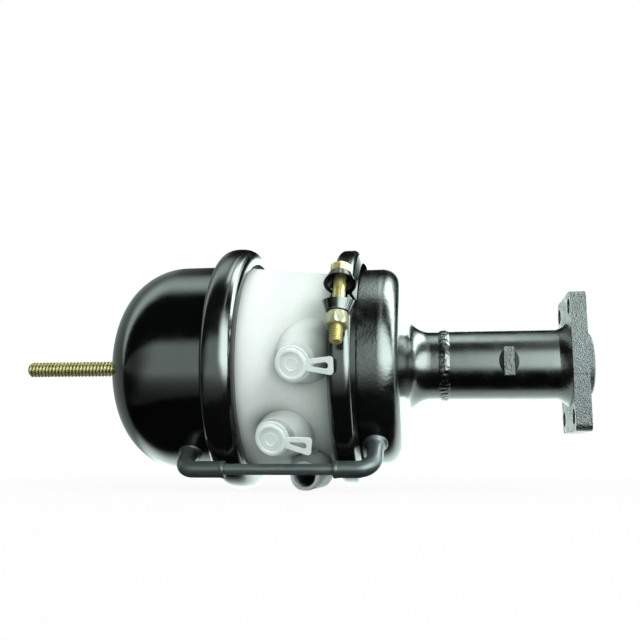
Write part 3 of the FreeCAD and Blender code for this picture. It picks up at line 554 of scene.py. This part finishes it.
def bolt_skins():
    corner = HEAD_APOTHEM / math.cos(math.pi / 6)
    rows = [(0, HEAD_APOTHEM * 0.9), (0.2, hexagon(HEAD_APOTHEM, corner - 0.9))]
    rows += [(x, hexagon(HEAD_APOTHEM, corner)) for x in (0.9, HEAD_HEIGHT - 0.6)]
    rows += [(HEAD_HEIGHT, hexagon(HEAD_APOTHEM, corner - 0.6)), (HEAD_HEIGHT + 0.01, BOLT_RADIUS)]
    length = HEAD_TOP - BOLT_END
    thread_start = HEAD_TOP - NUT_LOW - NUT_HEIGHT + 2
    rows += [(thread_start - 0.4, BOLT_RADIUS), (thread_start, BOLT_CORE)]
    rows += [(length - 0.5, BOLT_CORE - 0.3), (length, BOLT_RADIUS - BOLT_CHAMFER)]
    bar = spun(rows, 48, bolt_place(HEAD_TOP), -BOLT_UP)
    screw = threaded(thread_start - 0.4, length, BOLT_PITCH, BOLT_CORE, BOLT_RADIUS, BOLT_CHAMFER,
                     bolt_place(HEAD_TOP), -BOLT_UP, 40)
    return [bar, screw]


def nut_skin():
    corner = NUT_APOTHEM / math.cos(math.pi / 6)
    hole = BOLT_RADIUS + 0.1
    rows = [(2.0, hole - 0.4), (0.5, hole + 0.2), (0, hole + 0.9), (0, NUT_APOTHEM * 0.93)]
    rows += [(0.4, hexagon(NUT_APOTHEM, NUT_APOTHEM)), (1.3, hexagon(NUT_APOTHEM, corner))]
    rows += [(NUT_HEIGHT - 1.0, hexagon(NUT_APOTHEM, corner))]
    rows += [(NUT_HEIGHT - 0.2, hexagon(NUT_APOTHEM, NUT_APOTHEM))]
    rows += [(NUT_HEIGHT, NUT_APOTHEM * 0.93), (NUT_HEIGHT, hole)]
    return spun(rows, 48, bolt_place(NUT_LOW), BOLT_UP, closed=False)


piece("bolts", bolt_skins() + [half_turned(skin) for skin in bolt_skins()], "yellow_zinc",
      stands_for="clamp_bolts", crease=30)
piece("nuts", [nut_skin(), half_turned(nut_skin())], "pale_zinc", stands_for="clamp_nuts", crease=30)

# %% [markdown]
# A weld bead is a row of frozen ripples. Each ripple lags behind at the middle of the bead, and
# its height wanders a little, which a smooth noise of the place gives.

# %% Weld beads
TUBE_WELD_X, TUBE_WELD_HALF, TUBE_RADIUS = -113.0, 4.6, 28.9
FLANGE_WELD_END, FLANGE_WELD_LENGTH, FLANGE_WELD_LEG = -12.6, 10.0, 5.5
BEAD_RISE, TUBE_RIPPLES, TUBE_RIPPLE_HEIGHT = 1.15, 38, 0.42
FLANGE_RIPPLES, FLANGE_RIPPLE_HEIGHT = 60, 0.07
WELD_STEPS = 220


def ripple(angle, across, count, depth):
    """Height of the ripples at an angle, at a share of the bead's half width."""
    wander = noise.noise(Vector((math.cos(angle) * 3, math.sin(angle) * 3, across * 0.8)))
    fine = noise.noise(Vector((math.cos(angle) * 14, math.sin(angle) * 14, across * 3)))
    wave = math.cos(count * angle + 2.4 * across * across + 2.5 * wander)
    return depth * (0.35 * wave + 0.9 * wander + 0.9 * fine)


def tube_weld_skin():
    rows = []
    for i in range(23):
        across = i / 11 - 1

        def radius(angle, across=across):
            edge = 0.10 * noise.noise(Vector((math.cos(angle) * 9, math.sin(angle) * 9, 4)))
            rise = max(0.0, 1 - max(0.0, abs(across) + edge) ** 2.4)
            swell = ripple(angle, across, TUBE_RIPPLES, TUBE_RIPPLE_HEIGHT)
            return TUBE_RADIUS - 0.15 + rise * (BEAD_RISE + swell)
        rows.append((TUBE_WELD_X + across * TUBE_WELD_HALF, radius))
    return spun(rows, WELD_STEPS, closed=False)


def flange_weld_skin():
    rows = []
    for i in range(17):
        share = i / 16

        def radius(angle, share=share):
            rise = FLANGE_WELD_LEG * share ** 1.9
            swell = ripple(angle, share, FLANGE_RIPPLES, FLANGE_RIPPLE_HEIGHT)
            return TUBE_RADIUS - 0.1 + rise + math.sin(math.pi * share) * swell
        rows.append((FLANGE_WELD_END - FLANGE_WELD_LENGTH * (1 - share), radius))
    return spun(rows, WELD_STEPS, closed=False)


piece("tube_bead", [tube_weld_skin()], "weld", stands_for="tube_weld")
piece("flange_bead", [flange_weld_skin()], "weld", stands_for="flange_weld")

# %% [markdown]
# The rolled ring has no flat on it: its section is one smooth swell with a lip on each edge, and
# the rollers left faint lines on its front flank.

# %% Rolled clamp ring
RING_X, RING_BASE, RING_RISE, RING_HALF, RING_WALL = -286.0, 90.9, 13.6, 13.6, 3.0
FLANK_POWER, CROWN_POWER = 0.80, 0.66
LINES_FROM, LINE_HEIGHT, LINE_WAVES = 0.55, 0.07, 34


def swell_rows(count):
    """Points of the ring's section from one edge to the other, as shares across and up."""
    for i in range(count + 1):
        angle = math.pi * i / count
        across = math.copysign(abs(math.cos(angle)) ** FLANK_POWER, math.cos(angle))
        yield across, math.sin(angle) ** CROWN_POWER if 0 < i < count else 0.0


def ring_skin():
    rows = []
    for across, rise in reversed(list(swell_rows(60))):
        lines = LINE_HEIGHT * math.sin(rise * LINE_WAVES) if across > LINES_FROM else 0.0
        rows.append((RING_X + RING_HALF * across, RING_BASE + RING_RISE * rise + lines))
    for across, rise in swell_rows(30):
        rows.append((RING_X + (RING_HALF - RING_WALL) * across, RING_BASE + (RING_RISE - RING_WALL) * rise))
    rows.append(rows[0])
    return spun(rows, 240, closed=False)


piece("rolled_ring", [ring_skin()], "black_clamp", stands_for="parking_clamp_ring", crease=50)

# %% [markdown]
# The pocket that stores the release stud swells out of the casting in a wide round flare. The
# skin below is a loft through circles that rise and widen into the case.

# %% Flare of the stud pocket
POCKET_X = -223.0
POCKET_CIRCLES = [
    # place along Y, radius, height of the middle
    (-49.0, 11.3, -92.3), (-46.0, 11.8, -92.0), (-42.0, 13.0, -90.5), (-38.0, 14.5, -88.5),
    (-33.0, 15.8, -86.0), (-26.0, 16.4, -84.5), (-8.0, 16.4, -84.5), (6.0, 15.5, -85.0),
    (14.0, 13.5, -88.0), (20.0, 11.5, -91.0),
]


def pocket_skin():
    points, steps = [], 64
    for y, radius, middle in POCKET_CIRCLES:
        for k in range(steps):
            angle = 2 * math.pi * k / steps
            points.append(Vector((POCKET_X + radius * math.sin(angle), y, middle - radius * math.cos(angle))))
    return points, ring_faces(len(POCKET_CIRCLES), steps)


piece("pocket_flare", [pocket_skin()], "cast_aluminium", crease=50)

# %% [markdown]
# A pull loop is a flat frame: two rounded outlines with the same number of points, joined all
# round. The loop lies in the plug's disc, and a small ring stands in the middle of the disc.

# %% Port plugs' loops and rings
PORT_TILT, PORT_LEAN = math.radians(20), math.radians(9)
PLUGS = [
    # node, body, distance behind the service plane, to the side, out from the axis, loop's angle
    ("service_port_plug", "service_plug", 34.4, 25.8, 98.6, 0.0),
    ("parking_port_plug", "parking_plug", 53.5, -33.0, 96.1, 7.0),
]
DISC_BACK, LOOP_THICKNESS = -2.4, 1.8
LOOP_ROOT, LOOP_REACH, LOOP_ROOT_HALF, LOOP_END_HALF, LOOP_BAR = 10.2, 32.4, 4.1, 7.35, 3.9
LOOP_HOLE_ROOT, LOOP_SOFTENING = 15.4, 0.45
SMALL_RING_ROWS = [(-3.4, 5.4), (-4.0, 5.15), (-4.1, 4.8), (-4.0, 4.45), (-3.4, 4.2)]
RIM_ROWS = [(-4.3, 9.0), (-4.62, 9.6), (-4.72, 10.4), (-4.62, 11.4), (-4.2, 12.1)]


def rounded_loop(corners, per_corner=9):
    """Points round a convex outline. A corner is (y, z, rounding)."""
    points = []
    for i, (y, z, rounding) in enumerate(corners):
        here = Vector((y, z))
        before = (Vector(corners[i - 1][:2]) - here).normalized()
        after = (Vector(corners[(i + 1) % len(corners)][:2]) - here).normalized()
        half = before.angle(after) / 2
        centre = here + (before + after).normalized() * (rounding / math.sin(half))
        first = here + before * (rounding / math.tan(half)) - centre
        last = here + after * (rounding / math.tan(half)) - centre
        for k in range(per_corner):
            arm = first.lerp(last, k / (per_corner - 1)).normalized() * rounding
            points.append(centre + arm)
    return points


def loop_skin(frame_of):
    """The pull loop with softened edges, laid by frame_of(depth, y, z)."""
    root, reach, bar, soft = LOOP_ROOT, LOOP_REACH, LOOP_BAR, LOOP_SOFTENING
    outer = [(root, -LOOP_ROOT_HALF, 0.5), (reach, -LOOP_END_HALF, 3.0)]
    outer += [(y, -z, rounding) for y, z, rounding in reversed(outer)]
    lean = (LOOP_END_HALF - LOOP_ROOT_HALF) / (reach - root)
    near = LOOP_ROOT_HALF + lean * (LOOP_HOLE_ROOT - root) - bar
    far = LOOP_ROOT_HALF + lean * (reach - bar - root) - bar
    inner = [(LOOP_HOLE_ROOT, -near, 0.7), (reach - bar, -far, 2.3)]
    inner += [(y, -z, rounding) for y, z, rounding in reversed(inner)]

    def shrunk(points, amount):
        middle = sum(points, Vector((0, 0))) / len(points)
        return [p - (p - middle).normalized() * amount for p in points]

    outline, hole = rounded_loop(outer), rounded_loop(inner)
    top, low = DISC_BACK - LOOP_THICKNESS + 0.1, DISC_BACK + 0.1
    rings = [(low, shrunk(outline, soft)), (low - soft, outline)]
    rings += [(top + soft, outline), (top, shrunk(outline, soft))]
    rings += [(top, shrunk(hole, -soft)), (top + soft, hole)]
    rings += [(low - soft, hole), (low, shrunk(hole, -soft))]
    count = len(outline)
    points = [frame_of(depth, p.x, p.y) for depth, ring in rings for p in ring]
    faces = []
    for row in range(len(rings)):
        following = (row + 1) % len(rings)
        for k in range(count):
            a, b = k, (k + 1) % count
            faces.append((row * count + a, row * count + b, following * count + b, following * count + a))
    return points, faces


OUTWARD = Vector((0, -math.cos(PORT_TILT), -math.sin(PORT_TILT)))
ACROSS = Vector((0, -math.sin(PORT_TILT), math.cos(PORT_TILT)))
PULL = OUTWARD * math.cos(PORT_LEAN) - ALONG * math.sin(PORT_LEAN)

for node, body, behind, side, reach, loop_deg in PLUGS:
    face = Vector((SERVICE_X - behind, 0, 0)) + ACROSS * side + OUTWARD * reach
    level = (ALONG - PULL * ALONG.dot(PULL)).normalized()
    loop_angle = math.radians(loop_deg)
    way = level * math.cos(loop_angle) + level.cross(PULL) * math.sin(loop_angle)
    third = way.cross(PULL)

    def on_disc(depth, y, z, face=face, way=way, third=third):
        return face - PULL * depth + way * y + third * z

    small_ring = spun(SMALL_RING_ROWS, 64, face, -PULL, closed=False)
    rim = spun(RIM_ROWS, 96, face, -PULL, closed=False)
    piece(node + "_loop", [loop_skin(on_disc), small_ring, rim], "plug_plastic", body, crease=40)

# %% [markdown]
# The lug on the tube is rough as cast, in the middle of a lens-shaped dark sheet of painted shade.

# %% Cast lug on the tube
LUG_X, LUG_HALF_X, LUG_HALF_Z, LUG_RISE = -61.3, 4.3, 11.6, 2.7
LENS_HALF_X, LENS_HALF_Z = 8.2, 11.8
LENS_RINGS = [(0.0, 0.5), (0.6, 0.5), (0.85, 0.42), (1.0, -0.1)]


def lug_skin():
    """A block on the tube, one face out, its skin roughened by noise."""
    points, faces = [], []
    across, along = 14, 30
    for j in range(along + 1):
        for i in range(across + 1):
            u, v = 2 * i / across - 1, 2 * j / along - 1
            x = LUG_X + LUG_HALF_X * max(-1, min(1, u * 1.12))
            z = LUG_HALF_Z * max(-1, min(1, v * 1.05))
            rim = i in (0, across) or j in (0, along)
            grain = noise.noise(Vector((x, z, 3)) * 0.9) * 0.45
            grain += noise.noise(Vector((x, z, 9)) * 2.2) * 0.2
            foot = math.sqrt(TUBE_RADIUS ** 2 - z ** 2) - 0.3
            out = foot if rim else TUBE_RADIUS + LUG_RISE - 0.35 + grain
            points.append(Vector((x, -out, z)))
    for j in range(along):
        for i in range(across):
            a = j * (across + 1) + i
            faces.append((a, a + 1, a + across + 2, a + across + 1))
    return points, faces


def lens_skin():
    """A thin raised lens behind the lug, black and dull, which paints the shade round the lug."""
    points, steps = [], 56
    for share, rise in LENS_RINGS:
        for k in range(steps):
            angle = 2 * math.pi * k / steps
            z = LENS_HALF_Z * share * math.sin(angle)
            pointed = math.copysign(abs(math.cos(angle)) ** 1.3, math.cos(angle))
            x = LUG_X + LENS_HALF_X * share * pointed
            points.append(Vector((x, -math.sqrt((TUBE_RADIUS + rise) ** 2 - z ** 2), z)))
    return points, ring_faces(len(LENS_RINGS), steps)


piece("rough_lug", [lug_skin()], "painted_casting", stands_for="tube_lug", crease=50)
piece("lug_lens", [lens_skin()], "dull_weld", crease=30)

# %% [markdown]
# The breather line's elbows are moulded rubber. Each is a tube swept along a bent path, with its
# radius changing on the way: a flared collar with a lip on the housing, a round bend, and a
# sleeve with a thick end over the pipe.

# %% Moulded elbows of the breather line
LINE_ANGLE, LINE_REACH, LINE_RISE = math.radians(51.5), 112.4, 1.4
SLEEVE_RADIUS, COLLAR_RISE, COLLAR_HEIGHT, COLLAR_FADE = 6.45, 2.9, 1.6, 3.0
LIP_RISE, LIP_PLACE, LIP_SPREAD = 0.5, 2.2, 0.9
BAND_RISE, BAND_LENGTH, END_ROUNDING = 0.35, 3.2, 0.5


def round_axis(angle, radius, x):
    return Vector((x, -radius * math.cos(angle), -radius * math.sin(angle)))


REAR_X, FRONT_X = -317.9, -167.3
rear_corner = round_axis(LINE_ANGLE, LINE_REACH, REAR_X)
front_corner = round_axis(LINE_ANGLE, LINE_REACH, FRONT_X) + Vector((0, 0, LINE_RISE))
line_way = (front_corner - rear_corner).normalized()


def bent_path(seat, corner, end, bend):
    """Points and directions along two straight runs joined by a bend."""
    before, after = (seat - corner).normalized(), (end - corner).normalized()
    half = before.angle(after) / 2
    centre = corner + (before + after).normalized() * (bend / math.sin(half))
    first, last = corner + before * (bend / math.tan(half)), corner + after * (bend / math.tan(half))
    path = [seat.lerp(first, i / 30) for i in range(30)]
    arms = (first - centre).normalized(), (last - centre).normalized()
    path += [centre + arms[0].slerp(arms[1], i / 24) * bend for i in range(24)]
    path += [last.lerp(end, i / 60) for i in range(61)]
    return path


def swept(path, radius_at, steps=40):
    """A tube along a flat path. radius_at takes the length from the start and the whole length."""
    lengths = [0.0]
    for i in range(1, len(path)):
        lengths.append(lengths[-1] + (path[i] - path[i - 1]).length)
    binormal = (path[-1] - path[0]).cross(path[1] - path[0]).normalized()
    points = []
    for i, here in enumerate(path):
        ahead = path[min(i + 1, len(path) - 1)] - path[max(i - 1, 0)]
        normal = binormal.cross(ahead).normalized()
        radius = radius_at(lengths[i], lengths[-1])
        for k in range(steps):
            angle = 2 * math.pi * k / steps
            points.append(here + (normal * math.cos(angle) + binormal * math.sin(angle)) * radius)
    return points, ring_faces(len(path), steps, capped=True)


def elbow_radius(at, whole):
    """Collar with a lip, neck, and a sleeve whose end is a little thicker."""
    collar = COLLAR_RISE * math.exp(-max(at - COLLAR_HEIGHT, 0) / COLLAR_FADE)
    lip = LIP_RISE * math.exp(-((at - LIP_PLACE) / LIP_SPREAD) ** 2)
    band = BAND_RISE * min(max((at - whole + BAND_LENGTH) / END_ROUNDING, 0), 1)
    rounding = END_ROUNDING * min(max((at - whole + END_ROUNDING) / END_ROUNDING, 0), 1)
    return SLEEVE_RADIUS + collar + lip + band - rounding


ELBOWS = [
    # node, angle of the seat, radius of the housing, corner, length of the sleeve, bend
    ("breather_elbow_rear", 56.3, 89.4, rear_corner, line_way * 34.5, 9.0),
    ("breather_elbow_front", 52.7, 83.5, front_corner, line_way * -31.0, 13.0),
]
for node, seat_deg, skin_radius, corner, sleeve, bend in ELBOWS:
    seat = round_axis(math.radians(seat_deg), skin_radius - 0.6, corner.x)
    path = bent_path(seat, corner, corner + sleeve, bend)
    piece(node + "_rubber", [swept(path, elbow_radius)], "breather_rubber", stands_for=node, crease=50)

# %% [markdown]
# As the brake moves, the return springs get shorter, the power spring gets longer and the two
# rubber cups inside roll over. Here the springs are drawn once as round wire and the cups as copies
# of the model's own, in the shape they have in the model. The return springs ride on the chamber.

# %% Springs and cups
PARKING_JOINT, SERVICE_JOINT = "parking_slide", "service_slide"
SPRINGS = [
    # node, finish, start, end, radius at the start, at the end, wire, turns, joint of a shortening spring
    ("power_spring", -388.6, -323.3, 41.0, 59.0, 11.5, 4.0, None),
    ("parking_return_spring", -310.7, -246.3, 30.0, 54.0, 4.0, 5.0, PARKING_JOINT),
    ("service_return_spring", -218.2, -148.3, 22.0, 56.0, 4.5, 6.0, SERVICE_JOINT),
]
CUPS = [
    # node, body that moves its middle, place of its rim, place of its middle
    ("parking_diaphragm", "parking_piston", -0.287, -0.314),
    ("service_diaphragm", "service_rod", -0.191, -0.222),
]


def coil_skin(start, end, first, last, wire, turns, steps=40, sides=16):
    """A round wire wound along the axis, its radius running from first to last."""
    points = []
    rows = int(turns * steps)
    for row in range(rows + 1):
        share = row / rows
        angle = 2 * math.pi * turns * share
        out = Vector((0, math.cos(angle), math.sin(angle)))
        middle = out * (first + (last - first) * share)
        middle = middle + ALONG * (start + wire / 2 + (end - start - wire) * share)
        for k in range(sides):
            around = 2 * math.pi * k / sides
            points.append(middle + (out * math.cos(around) + ALONG * math.sin(around)) * wire / 2)
    return points, ring_faces(rows + 1, sides, capped=True)


for node, start, end, first, last, wire, turns, joint in SPRINGS:
    coil = coil_skin(start, end, first, last, wire, turns)
    spring = piece(node + "_coil", [coil], "spring_steel", CHAMBER if joint else None, node)
    if joint:
        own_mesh(spring)
    else:
        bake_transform(spring)

for node, mover, rim, middle in CUPS:
    source = nodes[node]
    skin = [source.matrix_world @ corner.co / MM for corner in source.data.vertices]
    faces = [tuple(face.vertices) for face in source.data.polygons]
    cup = piece(node + "_cup", [(skin, faces)], "diaphragm_rubber", None, node)
    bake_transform(cup)

# %% [markdown]
# The real chamber was photographed in a white room with a few soft light panels, and black gloss
# paint shows nothing but that room. So the world here is a small map of the room. All the painted
# pieces are turned about X, so the map has two coordinates that suit them. The roll is the angle
# round X, 0 in front, 90 above, and the side is how far a direction leans towards +X, from -1
# to 1. Only reflections see the panels. The camera sees plain white, and soft light comes from
# an even grey.

# %% The room that the paint reflects
PANEL_TINT = (0.82, 1.0, 0.94)
SOFT_GREY = (0.40, 0.43, 0.425, 1)
ROOM_PANELS = [
    # roll from, softness, to, softness, in degrees, then side from and to, and brightness at each
    (-75, 4, 22, 6, -0.05, 0.10, 3.0, 0.0),
    (-75, 4, 22, 6, -0.95, -0.36, -2.6, 0.0),
    (-75, 4, 38, 11, -0.10, 0.20, 0.0, 11.5),
    (-75, 4, 45, 9, -0.02, 0.48, 0.0, 11.5),
    (88, 9, 112, 16, -0.25, -0.08, 3.4, 0.0),
    (79, 4, 104, 22, -0.15, 0.03, 0.0, 14.0),
    (79, 4, 104, 22, 0.04, 0.15, 0.0, -11.0),
    (87, 8, 120, 18, 0.15, 0.45, 0.0, 27.0),
    (46, 8, 82, 6, 0.11, 0.20, 0.0, 4.0),
    (46, 8, 82, 6, 0.22, 0.34, 0.0, -4.0),
]
BACK_PANELS = [
    # the same, with the roll measured from straight behind
    (-40, 5, 60, 8, -0.40, -0.25, 0.45, 0.0),
    (-40, 4, 20, 4, -0.30, -0.18, 0.0, 5.5),
]
DARK_ROOM = 0.015


class Room(Network):
    """The world under construction, a map of brightness by direction."""

    def __init__(self):
        world = bpy.data.worlds.new("studio")
        bpy.context.scene.world = world
        super().__init__(world)
        toward = self.axes(self.add("ShaderNodeTexCoord").outputs["Generated"])
        self.roll = self.maths("ARCTAN2", toward["Z"], self.maths("MULTIPLY", toward["Y"], -1.0))
        self.back_roll = self.maths("ARCTAN2", toward["Z"], toward["Y"])
        self.side = toward["X"]

    def panel(self, roll, low, low_soft, high, high_soft, side_from, side_to, left, right):
        low, low_soft, high, high_soft = [math.radians(v) for v in (low, low_soft, high, high_soft)]
        above = self.step(roll, low - low_soft, low + low_soft)
        below = self.step(roll, high - high_soft, high + high_soft, 1.0, 0.0)
        across = self.step(self.side, side_from, side_to, left, right)
        return self.maths("MULTIPLY", self.maths("MULTIPLY", above, below), across)


def make_world():
    room = Room()
    brightness = DARK_ROOM
    for roll, panels in ((room.roll, ROOM_PANELS), (room.back_roll, BACK_PANELS)):
        for panel in panels:
            brightness = room.maths("ADD", brightness, room.panel(roll, *panel))
    panels_seen = room.vector("MULTIPLY", PANEL_TINT, brightness)
    path = room.add("ShaderNodeLightPath").outputs
    shines = room.maths("MAXIMUM", path["Is Glossy Ray"], path["Is Transmission Ray"])
    seen = room.mix(shines, SOFT_GREY, panels_seen)
    seen = room.mix(path["Is Camera Ray"], seen, (1, 1, 1, 1))
    background = room.tree.nodes["Background"]
    room.join(seen, background.inputs["Color"])
    background.inputs["Strength"].default_value = 1.0
    print("light panels in the room:", len(ROOM_PANELS) + len(BACK_PANELS))


make_world()

# %% [markdown]
# The floor is a plain pale sheet that runs into the white of the world behind it and keeps the
# chamber's soft shadow. Its brightness in reflections is a map as well, because low directions hit
# the floor before they reach the room. It is bright behind the chamber and dark just in front of
# it. Further in front it carries on the room's panels: a reflection in a piece turned about X keeps
# its lean to the side, so lines of one brightness fan out from the point below the camera.

# %% Pale floor
FLOOR_Z = cad_low.z - 0.0003
FLOOR_HALF = 60.0
FLOOR_COLOUR, FLOOR_TINT = rgb(0.55, 0.56, 0.56), rgb(0.84, 1.0, 0.95)
FLOOR_WHITE_NEAR, FLOOR_WHITE_FAR = 0.93, 1.0
WHITE_NEAR, WHITE_FAR = 0.35, 1.1
FAN_X, FAN_Y, FAN_LEFT, FAN_RIGHT = -0.1165, 0.66, -0.10, 0.34
FRONT_DIM, FRONT_BRIGHT = 3.0, 22.0
DOME_SHOULDER, SHOULDER_LEFT, SHOULDER_RIGHT, SHOULDER_DIM = (-0.42, -0.06, 0.0), -0.95, -0.36, 0.13
FADE_FAR, FADE_NEAR, FADE_DIM = -0.60, -0.13, 0.06
FRONT_END_FROM, FRONT_END_TO = -0.03, 0.0
EDGE_X, EDGE_SLANT, EDGE_SLANT_LEFT = -0.337, 0.17, 0.45
EDGE_FROM, EDGE_TO = -0.205, -0.175
BEHIND_LEFT, BEHIND_RIGHT, BEHIND_DIM, BEHIND_BRIGHT = -0.45, -0.37, 0.5, 3.1
UNDER_FROM, UNDER_TO, UNDER_DARK = -0.040, -0.012, 0.005
TUBE_FROM, TUBE_TO, TUBE_SHIFT = -0.22, -0.12, -0.022


def light_in_front(cover, place):
    """The room's panels carried on across the floor, brighter to the right, fading on the way here."""
    past_fan = cover.maths("SUBTRACT", place["X"], FAN_X)
    fan = cover.maths("DIVIDE", past_fan, cover.maths("SUBTRACT", FAN_Y, place["Y"]))
    from_dome = cover.vector("NORMALIZE", cover.vector("SUBTRACT", cover.place, DOME_SHOULDER))
    past_edge = cover.maths("SUBTRACT", place["X"], EDGE_X)
    left_slant = cover.maths("MULTIPLY", cover.maths("MINIMUM", past_edge, 0.0), EDGE_SLANT_LEFT)
    slant = cover.maths("ADD", cover.maths("MULTIPLY", past_edge, EDGE_SLANT), left_slant)
    edge = cover.maths("ADD", place["Y"], slant)
    level = cover.step(fan, FAN_LEFT, FAN_RIGHT, FRONT_DIM, FRONT_BRIGHT)
    for share in (cover.step(cover.axes(from_dome)["X"], SHOULDER_LEFT, SHOULDER_RIGHT, SHOULDER_DIM, 1.0),
                  cover.step(place["Y"], FADE_FAR, FADE_NEAR, 1.0, FADE_DIM),
                  cover.step(place["Y"], FRONT_END_FROM, FRONT_END_TO, 1.0, 0.0),
                  cover.step(edge, EDGE_FROM, EDGE_TO, 1.0, 0.0)):
        level = cover.maths("MULTIPLY", level, share)
    return level


def light_behind(cover, place):
    """The bright floor behind the chamber. It starts further back under the tube than under the dome."""
    shift = cover.step(place["X"], TUBE_FROM, TUBE_TO, 0.0, TUBE_SHIFT)
    under = cover.step(cover.maths("ADD", place["Y"], shift), UNDER_FROM, UNDER_TO, UNDER_DARK, 1.0)
    across = cover.step(place["X"], BEHIND_LEFT, BEHIND_RIGHT, BEHIND_DIM, BEHIND_BRIGHT)
    return cover.maths("MULTIPLY", under, across)


def floor_cover():
    cover = Finish("floor")
    cover.surface(Base_Color=FLOOR_COLOUR, Roughness=0.9, Specular_IOR_Level=0.2)
    place = cover.axes(cover.place)
    mirrored = cover.add("ShaderNodeEmission", Color=FLOOR_TINT)
    both = cover.maths("ADD", light_in_front(cover, place), light_behind(cover, place))
    cover.join(both, mirrored.inputs["Strength"])
    white = cover.add("ShaderNodeEmission", Color=rgb(1, 1, 1), Strength=1.0)
    distance = cover.vector("LENGTH", cover.place)
    white_share = cover.step(distance, WHITE_NEAR, WHITE_FAR, FLOOR_WHITE_NEAR, FLOOR_WHITE_FAR)
    path = cover.add("ShaderNodeLightPath").outputs
    last = cover.shader.outputs[0]
    for ray, share, shader in (("Is Camera Ray", white_share, white), ("Is Glossy Ray", 1.0, mirrored)):
        blend = cover.add("ShaderNodeMixShader")
        cover.join(cover.maths("MULTIPLY", path[ray], share), blend.inputs[0])
        cover.join(last, blend.inputs[1])
        cover.join(shader.outputs[0], blend.inputs[2])
        last = blend.outputs[0]
    cover.join(last, cover.tree.nodes["Material Output"].inputs["Surface"])
    return cover.material


def make_floor():
    half = FLOOR_HALF
    corners = [(x, y, FLOOR_Z) for x, y in ((-half, -half), (half, -half), (half, half), (-half, half))]
    mesh = bpy.data.meshes.new("floor")
    mesh.from_pydata(corners, [], [(0, 1, 2, 3)])
    mesh.materials.append(floor_cover())
    floor = bpy.data.objects.new("floor", mesh)
    bpy.context.collection.objects.link(floor)


make_floor()
print("floor at", round(FLOOR_Z, 4))

# %% [markdown]
# Soft lamps give the pale casting its shape. The strongest stands to the right and above, so the
# bosses are shaded on their left and the clamp band shades the casting beside it. The lamps are
# hidden from reflections, because the room above already holds the panels that the paint shows.

# %% Soft lamps
LAMP_TARGET = Vector((-0.23, 0, 0))


def soft_lamp(name, toward, distance, width, height, power):
    """A rectangular lamp, seen from the chamber in a direction (azimuth, height) in degrees."""
    azimuth, elevation = math.radians(toward[0]), math.radians(toward[1])
    out = Vector((math.sin(azimuth) * math.cos(elevation), -math.cos(azimuth) * math.cos(elevation),
                  math.sin(elevation)))
    data = bpy.data.lights.new(name, "AREA")
    data.shape = "RECTANGLE"
    data.size, data.size_y = width, height
    data.energy = power
    lamp = bpy.data.objects.new(name, data)
    lamp.location = LAMP_TARGET + out * distance
    lamp.rotation_mode = "QUATERNION"
    lamp.rotation_quaternion = out.to_track_quat("Z", "Y")
    lamp.visible_glossy = False
    bpy.context.collection.objects.link(lamp)


LAMPS = [
    # name, azimuth and height of its direction, distance, width, height, power
    ("right lamp", (44, 38), 1.6, 0.7, 0.6, 17),
    ("left lamp", (-45, 30), 1.6, 0.9, 0.8, 8),
    ("front lamp", (-10, 8), 1.6, 1.0, 0.8, 3.5),
    ("top lamp", (0, 85), 1.5, 1.4, 1.4, 3),
]
for facts in LAMPS:
    soft_lamp(*facts)
